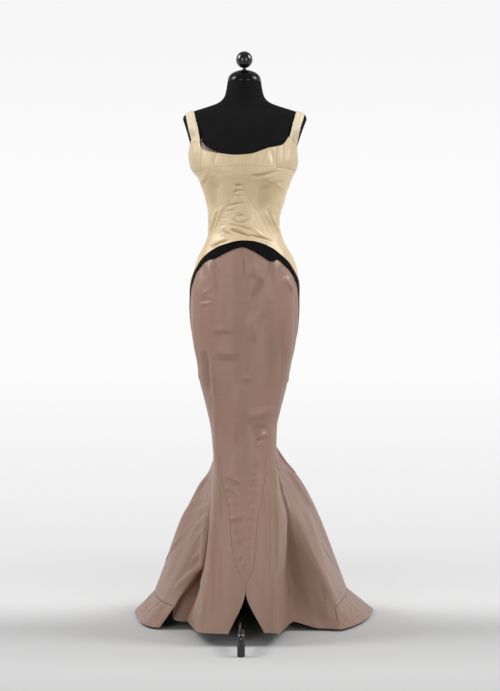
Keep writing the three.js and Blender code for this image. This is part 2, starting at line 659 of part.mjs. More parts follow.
function strapGeometry(side) {
  const { front, back, line } = STRAPS[side];
  const curves = ["x", "lift", "width"].map((name) => column(line, "turn", name));
  const lastTurn = line.at(-1).turn;
  const turns = Array.from({ length: STRAP_ROWS + 1 }, (_, i) => (lastTurn * i) / STRAP_ROWS);
  const outer = [strapEnd(front), ...turns.map((turn) => strapRow(side, curves, turn)), strapEnd(back)];
  if (side === "right") outer.forEach((row) => row.reverse());
  const last = outer.length - 1;
  const inner = outer.map((row, r) => row.map((spot, c) => {
    const across = row[2].clone().sub(row[0]);
    const along = outer[Math.max(r - 1, 0)][c].clone().sub(outer[Math.min(r + 1, last)][c]);
    return spot.clone().addScaledVector(across.cross(along).normalize(), SATIN);
  }));
  return wallGeometry(inner, outer);
}

add("strap_left", strapGeometry("left"), satin);
add("strap_right", strapGeometry("right"), satin);

add("foundation_edge", panel({
  from: always(-50),
  to: always(-21),
  lines: [(angle) => topEdge(angle) + liningRise(angle), (angle) => topEdge(angle) - 12],
  steps: [2],
  shares: evenShares(6),
  thickness: LINING,
  inset: SATIN + LINING_GAP,
}), lining);

// ---------------------------------------------------------------- velvet band

function velvetBand(name, from, to) {
  const shape = { from: always(from), to: always(to), lines: [bodiceHem, bandEdge], steps: [3] };
  add(name, panel({ ...shape, shares: sharedColumns(from, to), thickness: VELVET }), velvet);
}

velvetBand("velvet_band_front", -SIDE_SEAM, SIDE_SEAM);
velvetBand("velvet_band_back", SIDE_SEAM, 360 - SIDE_SEAM);

// ---------------------------------------------------------------- skirt

const seamLeftX = column(FRONT_SEAMS, "z", "left");
const seamRightX = column(FRONT_SEAMS, "z", "right");
const knee = always(KNEE);
const notchTop = always(NOTCH_ROW);
const foldTop = always(KNEE + (NOTCH_ROW - KNEE) / KNEE_ROWS);   // the side folds start one row down
const ankle = always(ANKLE);
const frontSeam = {
  left: (z) => (z > knee() ? -PANEL_EDGE : Math.max(-PANEL_EDGE, angleAtX(seamLeftX(z), z))),
  right: (z) => (z > knee() ? PANEL_EDGE : Math.min(PANEL_EDGE, angleAtX(seamRightX(z), z))),
};
const notchEdge = (side) => (z) => {
  const overNotch = z > NOTCH_TOP && z < notchTop() - 1;
  return overNotch ? angleAtX(NOTCH_X, z) : frontSeam[side](z);
};
const opened = (z) => easeIn((SIDE_OPENS.from - z) / SIDE_OPENS.over);
const sideFront = {
  left: (z) => THREE.MathUtils.lerp(-PANEL_EDGE, LEFT_RIDGE, opened(z)),
  right: (z) => THREE.MathUtils.lerp(PANEL_EDGE, RIGHT_GORE_SEAM, opened(z)),
};
const rightValley = (z) => Math.min(RIGHT_VALLEY, (PANEL_EDGE + sideFront.right(z)) / 2);

/** A skirt panel; "rows" lists pairs of a line and the rows from it down to the next line. */
function skirtPanel(name, from, to, rows, shares) {
  const lines = rows.map(([line]) => line);
  const steps = rows.slice(0, -1).map(([, count]) => count);
  add(name, panel({ from, to, lines, steps, shares, thickness: FAILLE }), faille);
}

const frontShares = sharedColumns(-PANEL_EDGE, PANEL_EDGE);
const leftEdge = always(-PANEL_EDGE);
const rightEdge = always(PANEL_EDGE);
const fromKnee = [knee, KNEE_ROWS];
const fromFold = [foldTop, KNEE_ROWS - 1];
const toHem = [[notchTop, HEM_ROWS], [frontHem]];
const toHemByAnkle = [[notchTop, HEM_ROWS], [ankle, 1], [frontHem]];
const centreRows = [[bandEdge, HIP_ROWS], fromKnee, [notchTop]];
skirtPanel("skirt_front_centre", frontSeam.left, frontSeam.right, centreRows, frontShares);
skirtPanel("skirt_front_left", leftEdge, notchEdge("left"), [fromKnee, ...toHem], evenShares(5));
skirtPanel("skirt_front_right", notchEdge("right"), rightEdge, [fromKnee, ...toHemByAnkle], evenShares(5));
skirtPanel("godet_left", sideFront.left, leftEdge, [fromFold, ...toHem], evenShares(7));
skirtPanel("godet_right", rightEdge, rightValley, [fromFold, ...toHemByAnkle], evenShares(4));
skirtPanel("gore_right_front", rightValley, sideFront.right, [fromFold, ...toHemByAnkle], evenShares(4));

const goreRows = [[bandEdge, HIP_ROWS], fromKnee, [notchTop, HEM_ROWS], [goreHem]];
const sideRightShares = sharedColumns(PANEL_EDGE, BACK_SEAM);
const sideLeftShares = sharedColumns(-BACK_SEAM, -PANEL_EDGE);
const backRightShares = sharedColumns(BACK_SEAM, 180);
const backLeftShares = sharedColumns(-180, -BACK_SEAM);
const flounceBackShares = sharedColumns(BACK_SEAM, 360 - BACK_SEAM);
skirtPanel("skirt_side_right", sideFront.right, always(BACK_SEAM), goreRows, sideRightShares);
skirtPanel("skirt_side_left", always(-BACK_SEAM), sideFront.left, goreRows, sideLeftShares);
skirtPanel("skirt_back_right", always(BACK_SEAM), always(180), goreRows, backRightShares);
skirtPanel("skirt_back_left", always(-180), always(-BACK_SEAM), goreRows, backLeftShares);
add("flounce_right", flouncePiece(RIGHT_GORE_SEAM, BACK_SEAM, sideRightShares), faille);
add("flounce_left", flouncePiece(-BACK_SEAM, LEFT_RIDGE, sideLeftShares), faille);
add("flounce_back", flouncePiece(BACK_SEAM, 360 - BACK_SEAM, flounceBackShares), faille);

// ---------------------------------------------------------------- dress form

const FORM_HEIGHTS = [
  FORM_BOTTOM, 800, 840, 880, 915, 950, 985, 1010, 1035, 1060, 1085, 1108, 1130, 1154, 1178, 1202, 1226,
  1250, 1274, 1298, 1322, 1346, 1370, 1394, 1420, 1450, 1500, 1530, 1548, 1556, 1562, 1570, 1582, 1592,
  1602, 1616, 1640,
];
const FORM_SIDES = 32;

/** A closed lofted solid through rings of points, from the bottom ring to the top one. */
function loftGeometry(rings) {
  const around = rings[0].length;
  const points = rings.flat();
  const faces = [];
  rings.slice(1).forEach((_, r) => {
    for (let c = 0; c < around; c += 1) {
      const a = r * around + c;
      const b = r * around + ((c + 1) % around);
      faces.push(a, b, b + around, a, b + around, a + around);
    }
  });
  const middle = (ring) => ring.reduce((sum, p) => sum.add(p), point(0, 0, 0)).divideScalar(around);
  const bottom = points.push(middle(rings[0])) - 1;
  const top = points.push(middle(rings.at(-1))) - 1;
  const lastRing = (rings.length - 1) * around;
  for (let c = 0; c < around; c += 1) {
    const next = (c + 1) % around;
    faces.push(bottom, next, c, top, lastRing + c, lastRing + next);
  }
  const geometry = new THREE.BufferGeometry().setFromPoints(points);
  geometry.setIndex(faces);
  geometry.computeVertexNormals();
  return geometry;
}

const NECK_RADIUS = 50;
const neckTilt = radians(NECK.tilt);
const formRings = FORM_HEIGHTS.map((z) => {
  const angles = Array.from({ length: FORM_SIDES }, (_, i) => (360 * i) / FORM_SIDES - 180);
  return angles.map((angle) => onSection(formSection(z), angle, z));
});
formRings.push(formRings[0].map((_, i) => {
  const angle = radians((360 * i) / FORM_SIDES - 180);
  const y = -NECK_RADIUS * Math.cos(angle);
  return point(NECK_RADIUS * Math.sin(angle), y, NECK.top + y * Math.tan(neckTilt));
}));
add("form_torso", loftGeometry(formRings), formCloth);

/** A solid turned about the Z axis from (radius, height) pairs, closed on the axis. */
function turned(profile, sides) {
  const geometry = new THREE.LatheGeometry(profile.map(([r, z]) => new THREE.Vector2(r, z)), sides);
  return geometry.rotateX(Math.PI / 2);
}

// The cap and its finial lean forward with the neck.
const neckTop = new THREE.Group();
neckTop.position.set(0, 0, NECK.top);
neckTop.rotation.x = neckTilt;
model.add(neckTop);
const CAP = [[0, SEAT], [49, SEAT], [50, 3], [48.5, 8], [43, 14.5], [33, 20.5], [19, 25], [0, 27]];
add("neck_cap", turned(CAP, 28), satinNeck, neckTop);

const capHeight = CAP.at(-1)[1] + SEAT;
const ballSteps = 10;
const ballProfile = Array.from({ length: ballSteps }, (_, i) => {
  const start = Math.asin(BALL.stem / BALL.radius);
  const angle = start + ((Math.PI - start) * i) / (ballSteps - 1);
  const radius = i === ballSteps - 1 ? 0 : BALL.radius * Math.sin(angle);
  return [radius, BALL.rise - BALL.radius * Math.cos(angle)];
});
const finial = [[0, capHeight], [BALL.stem, capHeight], ...ballProfile];
add("finial_ball", turned(finial, 20), glossBlack, neckTop);

// ---------------------------------------------------------------- stand

function cylinder(radius, bottom, top, sides) {
  const geometry = new THREE.CylinderGeometry(radius, radius, top - bottom, sides);
  return geometry.rotateX(Math.PI / 2).translate(0, 0, (bottom + top) / 2);
}

add("pole", cylinder(POLE_RADIUS, HUB.top + SEAT, FORM_BOTTOM - SEAT, 20), glossBlack);
const stand = new THREE.Group();
stand.rotation.z = radians(STAND_TURN);
model.add(stand);
add("hub", cylinder(HUB.radius, HUB.bottom, HUB.top, 24), glossBlack, stand);

// One leg, seen from the side: how far out and how high its middle line runs.
const LEG_LINE = table(["out", "z"], [
  [HUB.radius + SEAT, 206], [34, 206], [60, 160], [100, 113], [150, 85], [200, 70], [250, 64],
  [276, 62], [292, 57], [FOOT.reach, 48], [FOOT.reach, FOOT.height + SEAT],
]);
const legCurve = new THREE.CatmullRomCurve3(LEG_LINE.map(({ out, z }) => point(0, -out, z)));
const legSection = new THREE.Shape().absarc(0, 0, LEG_RADIUS, 0, 2 * Math.PI, false);

function legGeometry() {
  return new THREE.ExtrudeGeometry(legSection, { steps: 22, curveSegments: 5, extrudePath: legCurve });
}

const LEGS = { front: 0, right: 120, left: -120 };
Object.entries(LEGS).forEach(([name, angle]) => {
  const arm = new THREE.Group();
  arm.rotation.z = radians(angle);
  stand.add(arm);
  add(`leg_${name}`, legGeometry(), glossBlack, arm);
  const foot = add(`foot_${name}`, cylinder(FOOT.radius, 0, FOOT.height, 20), glossBlack, arm);
  foot.position.set(0, -FOOT.reach, 0);
});

// The origin is on the floor under the middle of the whole part.
const whole = new THREE.Box3().setFromObject(model, true);
const middle = whole.getCenter(point(0, 0, 0));
model.position.set(-middle.x, -middle.y, -whole.min.z);

export default model;
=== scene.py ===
# Evening gown on a dress form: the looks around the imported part.
# Lengths in the tables are millimetres from the pole's axis at the floor, as in the part.
import math

import bpy
import numpy as np
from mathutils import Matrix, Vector


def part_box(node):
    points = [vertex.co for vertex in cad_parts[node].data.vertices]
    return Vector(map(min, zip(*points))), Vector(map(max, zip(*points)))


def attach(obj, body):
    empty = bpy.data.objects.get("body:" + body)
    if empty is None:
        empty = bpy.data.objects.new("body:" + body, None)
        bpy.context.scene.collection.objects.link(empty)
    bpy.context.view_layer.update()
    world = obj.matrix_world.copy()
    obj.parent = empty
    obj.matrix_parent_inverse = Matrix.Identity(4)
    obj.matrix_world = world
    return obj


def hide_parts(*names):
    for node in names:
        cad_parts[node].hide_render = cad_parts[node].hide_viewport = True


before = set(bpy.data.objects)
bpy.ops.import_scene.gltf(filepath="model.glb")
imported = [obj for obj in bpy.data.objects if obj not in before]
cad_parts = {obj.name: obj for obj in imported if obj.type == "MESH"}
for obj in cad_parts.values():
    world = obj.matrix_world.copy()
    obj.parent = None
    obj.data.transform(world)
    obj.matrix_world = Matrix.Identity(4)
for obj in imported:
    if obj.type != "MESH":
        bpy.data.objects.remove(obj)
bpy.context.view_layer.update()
pole_low, pole_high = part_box("pole")
SHIFT = np.array([(pole_low.x + pole_high.x) / 2, (pole_low.y + pole_high.y) / 2, 0.0]) * 1000

# ------------------------------------------------------------------ tables of the shape

# How far the gown's outer face stands from the pole at each height: z, left, right, front, back.
GOWN = [
    (1490, 165, 164, 104, 100), (1466, 166, 164, 108, 103), (1442, 169, 162, 115, 104),
    (1418, 166, 162, 122, 104), (1394, 158, 155, 127, 103), (1370, 140, 144, 125, 101),
    (1346, 130, 135, 117, 97), (1322, 121, 126, 109, 94), (1298, 115, 120, 101, 92),
    (1274, 110, 112, 95, 90), (1250, 109, 106, 91, 90), (1226, 109, 106, 89, 93),
    (1202, 109, 111, 90, 99), (1178, 117, 120, 94, 108), (1154, 127, 132, 99, 118),
    (1130, 138, 144, 103, 127), (1106, 146, 154, 106, 134), (1082, 154, 160, 108, 139),
    (1034, 162, 164, 110, 145), (986, 163, 164, 110, 143), (938, 161, 161, 109, 137),
    (866, 152, 152, 105, 126), (818, 142, 141, 102, 120), (770, 136, 132, 99, 115),
    (722, 124, 120, 96, 110), (674, 112, 108, 93, 105), (626, 101, 98, 91, 101),
    (578, 95, 96, 90, 99), (530, 92, 94, 90, 98), (0, 92, 94, 90, 98),
]
# The form above the underarm, in the same columns.
SHOULDERS = [
    (1346, 124, 129, 111, 91), (1370, 133, 136, 116, 95), (1394, 143, 143, 118, 97),
    (1418, 148, 147, 113, 98), (1442, 154, 152, 107, 98), (1466, 161, 159, 100, 97),
    (1500, 170, 170, 90, 94), (1530, 179, 181, 78, 89), (1548, 184, 187, 70, 84),
    (1556, 181, 184, 66, 80), (1562, 170, 172, 62, 76), (1570, 150, 151, 58, 72),
    (1582, 112, 112, 54, 66), (1592, 84, 84, 52, 62), (1602, 69, 69, 50, 58),
    (1616, 59, 59, 50, 54), (1640, 53, 53, 49, 51),
]
# Lengthwise folds of the lower skirt: angle, z where it leaves the fitted shape, whether it is
# sharp (1) or soft (0), and the points x, y, z of its ridge or valley.
FOLDS = [
    (-156, 640, 0, [(-60, 196, 500), (-94, 370, 330), (-116, 500, 190), (-134, 588, 72)]),
    (-134, 610, 0, [(-104, 140, 490), (-172, 290, 330), (-222, 392, 190), (-268, 448, 76)]),
    (-119, 560, 0, [(-93, 62, 506), (-141, 122, 435), (-205, 216, 311), (-253, 292, 177), (-291, 341, 76)]),
    (-108, 540, 0, [(-126, 88, 435), (-180, 146, 311), (-232, 186, 177), (-266, 184, 76)]),
    (-100, 520, 0, [(-112, 42, 420), (-148, 74, 311), (-186, 100, 211), (-224, 112, 120), (-238, 112, 76)]),
    (-94, 500, 0, [(-100, 4, 400), (-110, 14, 300), (-124, 24, 211), (-154, 42, 166), (-204, 68, 91),
        (-212, 66, 75)]),
    (-88, 500, 0, [(-92, 6, 400), (-96, 34, 300), (-112, 72, 211), (-136, 88, 150), (-196, 96, 80),
        (-206, 96, 50)]),
    (-84, 540, 0, [(-96, -26, 400), (-99, -12, 300), (-110, 12, 205), (-150, 60, 90), (-174, 80, 43)]),
    (-80, 600, 1, [(-98, -52, 450), (-104, -84, 330), (-111, -96, 260), (-121, -92, 195),
        (-157, -50, 70), (-168, -6, 38)]),
    (-64, 630, 0, [(-87, -96, 430), (-93, -118, 300), (-109, -136, 170), (-127, -154, 38)]),
    (-40, 650, 0, [(-60, -110, 400), (-62, -134, 300), (-64, -158, 164), (-64, -172, 38)]),
    (0, 660, 0, [(3, -100, 500), (4, -141, 300), (4, -165, 164), (6, -179, 38)]),
    (42, 650, 0, [(63, -110, 400), (63, -132, 300), (62, -152, 164), (60, -163, 38)]),
    (80, 620, 1, [(97, -68, 470), (99, -104, 390), (100, -132, 260), (101, -170, 38)]),
    (83, 560, 1, [(108, -42, 440), (128, -44, 350), (126, -50, 255), (119, -58, 175), (123, -69, 36)]),
    (86, 540, 0, [(111, 10, 391), (119, 34, 314), (127, 58, 220), (139, 66, 115), (156, 56, 28)]),
    (90, 540, 0, [(116, 8, 440), (130, 14, 391), (148, 34, 314), (168, 52, 220), (193, 62, 115),
        (219, 62, 40), (231, 56, 8)]),
    (96, 560, 0, [(116, 22, 450), (137, 34, 391), (182, 46, 290), (214, 52, 217), (243, 60, 155),
        (274, 64, 75), (292, 44, 8)]),
    (105, 580, 0, [(126, 62, 480), (160, 96, 400), (208, 124, 300), (250, 136, 200), (298, 140, 77)]),
    (112, 590, 0, [(132, 92, 490), (178, 150, 405), (228, 215, 300), (272, 250, 190), (322, 262, 78)]),
    (119, 600, 0, [(121, 76, 525), (153, 130, 483), (196, 208, 413), (248, 300, 301), (290, 350, 191),
        (330, 380, 82)]),
    (134, 620, 0, [(120, 160, 490), (186, 300, 330), (240, 410, 190), (292, 462, 78)]),
    (156, 640, 0, [(62, 196, 500), (98, 370, 330), (126, 500, 190), (152, 590, 72)]),
    (180, 660, 0, [(0, 214, 500), (2, 396, 330), (5, 532, 190), (10, 626, 68)]),
]
FOLD_SETTLE = 60       # mm above its start over which a fold still lies flat
# The neckline all round: angle, z.
TOP_EDGE = [
    (-180, 1388), (-158, 1398), (-149, 1436), (-133, 1442), (-124, 1408), (-108, 1392), (-92, 1390),
    (-85, 1404), (-79, 1446), (-72, 1479), (-52, 1470), (-48, 1451), (-39, 1439), (-24, 1430),
    (-7, 1424), (5, 1427), (24, 1446), (42, 1459), (55, 1487), (62, 1487), (73, 1458), (80, 1426),
    (86, 1400), (92, 1390), (108, 1392), (124, 1408), (133, 1442), (149, 1436), (158, 1398),
]
BUST_SEAM = [
    (-180, 1383), (-92, 1383), (-60, 1381), (-48, 1383), (-7, 1392), (35, 1389), (70, 1386), (92, 1383),
]
# The hems over the hips: angle, z of the bodice's hem, z of the velvet band's lower edge.
HEM = [
    (-180, 862, 838), (-150, 872, 844), (-120, 895, 860), (-105, 925, 882), (-98, 962, 908),
    (-92, 1014, 945), (-86, 1060, 985), (-80, 1080, 1025), (-72, 1103, 1059), (-64, 1124, 1094),
    (-51, 1145, 1118),
    (-43, 1155, 1124), (-37, 1161, 1126), (-23, 1170, 1141), (-10, 1177, 1154), (-2, 1179, 1158),
    (7, 1178, 1150), (20, 1173, 1131), (28, 1167, 1118), (33, 1161, 1117), (39, 1155, 1123),
    (48, 1139, 1109), (58, 1121, 1088), (70, 1086, 1057), (78, 1072, 1022), (84, 1062, 975),
    (90, 1036, 920), (96, 968, 893), (105, 922, 874), (120, 892, 856), (150, 870, 842),
]
# The front panel's seams: z, x of the left one, x of the right one.
FRONT_SEAMS = [
    (582, -91, 92), (560, -80, 78), (524, -71, 64), (457, -62, 57), (403, -47, 48), (360, -41, 38),
    (303, -37, 33), (233, -24, 28), (164, 4, 4), (38, -45, 58.6),
]
# The pointed insert's sides: z, x of the left one, x of the right one.
INSERT = [
    (1340, -15, -11), (1309, -30, 6), (1274, -52, 28), (1242, -71, 50), (1200, -95, 74), (1172, -110, 98),
    (1131, -127, 123),
]
# The front pieces' hem, and the seam from which the flounces hang: angle, z.
FRONT_HEM = [
    (-94, 75), (-88, 26), (-84, 22), (-80, 38), (-64, 38), (0, 38), (80, 38), (83, 36), (86, 28),
    (90, 8), (96, 8),
]
GORE_HEM = [(-180, 68), (-134, 76), (-94, 75), (-91, 65), (0, 60), (96, 75), (112, 78), (134, 78)]
# The flounces' hem on the floor: angle, x, y, z.
FLOUNCE_HEM = [
    (-180, 12, 722, 4), (-156, -176, 676, 4), (-134, -332, 500, 5), (-119, -356, 362, 6),
    (-108, -335, 211, 7),
    (-103, -314, 128, 8), (-98, -281, 80, 8), (-94, -258, 72, 8), (-91, -236, 86, 14), (96, 292, 44, 8),
    (100, 316, 68, 8), (105, 350, 124, 8), (112, 391, 229, 8), (119, 418, 384, 7), (134, 360, 540, 5),
    (156, 200, 684, 4),
]
# How far the lining strip stands above the neckline: angle, mm.
LINING_RISE = [(-50, 20), (-42, 14), (-30, 5), (-21, 1)]
BODY_ROUND = 0.94       # below 1 the sections are a little squarer than an ellipse
FORM_CLEARANCE = 6.5    # mm from the gown's outer face to the form inside it, below the underarm
UNDERARM = 1346
CENTRE_FRONT_X = -13
CUP_SEAM_X = (-126, 93)
INSERT_CORNERS = (-61, 57)
INSERT_TOP = 1338
# Seams of the skirt and the bodice, in degrees from the centre front.
SIDE_SEAM = 92
PANEL_EDGE = 80
RIGHT_GORE_SEAM = 96
LEFT_RIDGE = -94
BACK_SEAM = 134
RIGHT_VALLEY = 86
OPEN_FROM, OPEN_OVER = 560, 90      # z at which the godets begin to open, and over how many mm

# ------------------------------------------------------------------ curves and faces


def smooth_curve(knots, values):
    """A curve that never overshoots its knots, straight past both ends."""
    order = np.argsort(knots)
    k = np.array(knots, float)[order]
    v = np.array(values, float)[order]
    secant = np.diff(v) / np.diff(k)
    slope = np.concatenate([secant[:1], gentle(secant[:-1], secant[1:]), secant[-1:]])

    def curve(at):
        at = np.asarray(at, float)
        i = np.clip(np.searchsorted(k, at, side="right") - 1, 0, len(k) - 2)
        width = k[i + 1] - k[i]
        t = np.clip((at - k[i]) / width, 0, 1)
        inside = hermite(t, width, v[i], slope[i], v[i + 1], slope[i + 1])
        past = slope[0] * np.minimum(at - k[0], 0) + slope[-1] * np.maximum(at - k[-1], 0)
        return inside + past

    return curve


def column(rows, number):
    """A column of a table as a curve over its first column."""
    return smooth_curve([r[0] for r in rows], [r[number] for r in rows])


def round_column(rows, number=1):
    """The same over angles, which goes on round the body."""
    return column([(r[0] + turn, r[number]) for turn in (-360, 0, 360) for r in rows], 1)


def always(value):
    """A side line or an edge that stays at one value."""
    return lambda at: np.full(np.shape(at), float(value))


def ease(t):
    t = np.clip(t, 0, 1)
    return t * t * (3 - 2 * t)


def hermite(t, width, value_a, slope_a, value_b, slope_b):
    """A cubic stretch between two values with the given slopes."""
    u = 1 - t
    return (value_a * u * u * (1 + 2 * t) + value_b * t * t * (3 - 2 * t)
            + width * (slope_a * u * u * t - slope_b * t * t * u))


def gentle(before, after):
    """The slope at a knot that keeps a curve from overshooting it."""
    total = np.where(np.abs(before + after) < 1e-12, 1, before + after)
    return np.where(before * after <= 0, 0, 2 * before * after / total)


gown_curves = [column(GOWN, number) for number in (1, 2, 3, 4)]
shoulder_curves = [column(SHOULDERS, number) for number in (1, 2, 3, 4)]
top_edge = round_column(TOP_EDGE)
bust_seam = round_column(BUST_SEAM)
bodice_hem = round_column(HEM)
band_edge = round_column(HEM, 2)
front_hem = column(FRONT_HEM, 1)
gore_hem = round_column(GORE_HEM)
flounce_hem = [round_column(FLOUNCE_HEM, number) for number in (1, 2, 3)]
lining_rise = column(LINING_RISE, 1)


def on_section(sides, angle, z):
    """Points at the angles on oval sections with the given half widths."""
    left, right, front, back = sides
    s, c = np.sin(np.radians(angle)), np.cos(np.radians(angle))
    wide = np.where(s < 0, left, right)
    deep = np.where(c > 0, front, back)
    x = wide * np.sign(s) * np.abs(s) ** BODY_ROUND
    y = -deep * np.sign(c) * np.abs(c) ** BODY_ROUND
    return np.stack([x, y, np.broadcast_to(z, np.shape(x))], -1)


def gown_sides(z):
    return [curve(z) for curve in gown_curves]


def fold_curves(fold):
    """A fold's shift from the fitted shape over z, and the height at which it starts."""
    angle, start, _, path = fold
    rows = [(start + FOLD_SETTLE, 0, 0), (start, 0, 0)]
    for x, y, z in path:
        base = on_section(gown_sides(z), angle, z)
        rows.append((z, x - base[0], y - base[1]))
    return column(rows, 1), column(rows, 2), start + FOLD_SETTLE


fold_shifts = [fold_curves(fold) for fold in FOLDS]
fold_angles = np.array([fold[0] for fold in FOLDS], float)
fold_sharp = np.array([fold[2] for fold in FOLDS], bool)


def fold_at(number, z):
    """Unwrapped angle, sharpness and shift of each point's fold of the given number."""
    count = len(FOLDS)
    index = number % count
    angle = fold_angles[index] + 360.0 * np.floor_divide(number, count)
    shift = np.zeros(z.shape + (2,))
    for k in np.unique(index):
        x, y, top = fold_shifts[k]
        here = (index == k) & (z < top)
        shift[here, 0] = x(z[here])
        shift[here, 1] = y(z[here])
    return angle, fold_sharp[index], shift


def gown(angle, z):
    """The gown's outer face, from the neckline to the skirt's lowest edge."""
    angle, z = np.broadcast_arrays(np.asarray(angle, float), np.asarray(z, float))
    shape = angle.shape
    angle, z = angle.ravel(), z.ravel()
    turned = np.mod(angle + 180, 360) - 180
    points = on_section(gown_sides(z), turned, z)
    low = z < max(top for _, _, top in fold_shifts)
    if low.any():
        a, h = turned[low], z[low]
        i = np.searchsorted(fold_angles, a, side="right") - 1
        around = [fold_at(i + k, h) for k in (-1, 0, 1, 2)]
        (a0, _, s0), (a1, sharp1, s1), (a2, sharp2, s2), (a3, _, s3) = around
        width = a2 - a1
        t = (a - a1) / width
        for axis in (0, 1):
            secant = (s2[:, axis] - s1[:, axis]) / width
            before = (s1[:, axis] - s0[:, axis]) / (a1 - a0)
            after = (s3[:, axis] - s2[:, axis]) / (a3 - a2)
            slope1 = np.where(sharp1, secant, gentle(before, secant))
            slope2 = np.where(sharp2, secant, gentle(secant, after))
            points[low, axis] += hermite(t, width, s1[:, axis], slope1, s2[:, axis], slope2)
    return points.reshape(shape + (3,))


HALVINGS = 22      # of the front half, to find the angle of a seam


def angle_at_x(x, z):
    """The angle on the front half at which the gown has a given x."""
    x, z = np.broadcast_arrays(np.asarray(x, float), np.asarray(z, float))
    low, high = np.full(x.shape, -89.0), np.full(x.shape, 89.0)
    for _ in range(HALVINGS):
        middle = (low + high) / 2
        less = gown(middle, z)[..., 0] < x
        low, high = np.where(less, middle, low), np.where(less, high, middle)
    return low


def flounce(angle, down):
    """Points of the flounces, from the seam (0) down to the hem (1)."""
    seam = gown(angle, gore_hem(angle))
    hem = np.stack([curve(angle) for curve in flounce_hem], -1)
    return seam + (hem - seam) * np.asarray(down, float)[..., None]


def form_sides(z):
    """How far the form stands from the pole: inside the gown, and bare above the underarm."""
    low = [curve(z) - FORM_CLEARANCE for curve in gown_curves]
    high = [curve(z) for curve in shoulder_curves]
    return [np.where(z < UNDERARM, a, b) for a, b in zip(low, high)]


# ------------------------------------------------------------------ seams as angle over height

seam_left_x, seam_right_x = column(FRONT_SEAMS, 1), column(FRONT_SEAMS, 2)
insert_left_x, insert_right_x = column(INSERT, 1), column(INSERT, 2)


def centre_front(z):
    return angle_at_x(CENTRE_FRONT_X, z)


def cup_left(z):
    return angle_at_x(CUP_SEAM_X[0], z)


def cup_right(z):
    return angle_at_x(CUP_SEAM_X[1], z)


def insert_left(z):
    x = np.where(z > INSERT_TOP, CENTRE_FRONT_X, insert_left_x(z))
    return np.maximum(INSERT_CORNERS[0], angle_at_x(x, z))


def insert_right(z):
    x = np.where(z > INSERT_TOP, CENTRE_FRONT_X, insert_right_x(z))
    return np.minimum(INSERT_CORNERS[1], angle_at_x(x, z))


def front_left(z):
    return np.maximum(-PANEL_EDGE, angle_at_x(seam_left_x(z), z))


def front_right(z):
    return np.minimum(PANEL_EDGE, angle_at_x(seam_right_x(z), z))


def opened(z):
    """How far the skirt's side seams have opened at a height, from 0 to 1."""
    return ease((OPEN_FROM - z) / OPEN_OVER)


def side_left(z):
    return -PANEL_EDGE + (LEFT_RIDGE + PANEL_EDGE) * opened(z)


def side_right(z):
    return PANEL_EDGE + (RIGHT_GORE_SEAM - PANEL_EDGE) * opened(z)


SIDE_ROUNDS = 12    # of moving a line's angle until it fits its own height


def side_angle(side, height, count):
    """The angle at which a leaning side line meets each row."""
    angle = np.zeros(count)
    for _ in range(SIDE_ROUNDS):
        angle = side(height(angle))
    return angle


# ------------------------------------------------------------------ creases

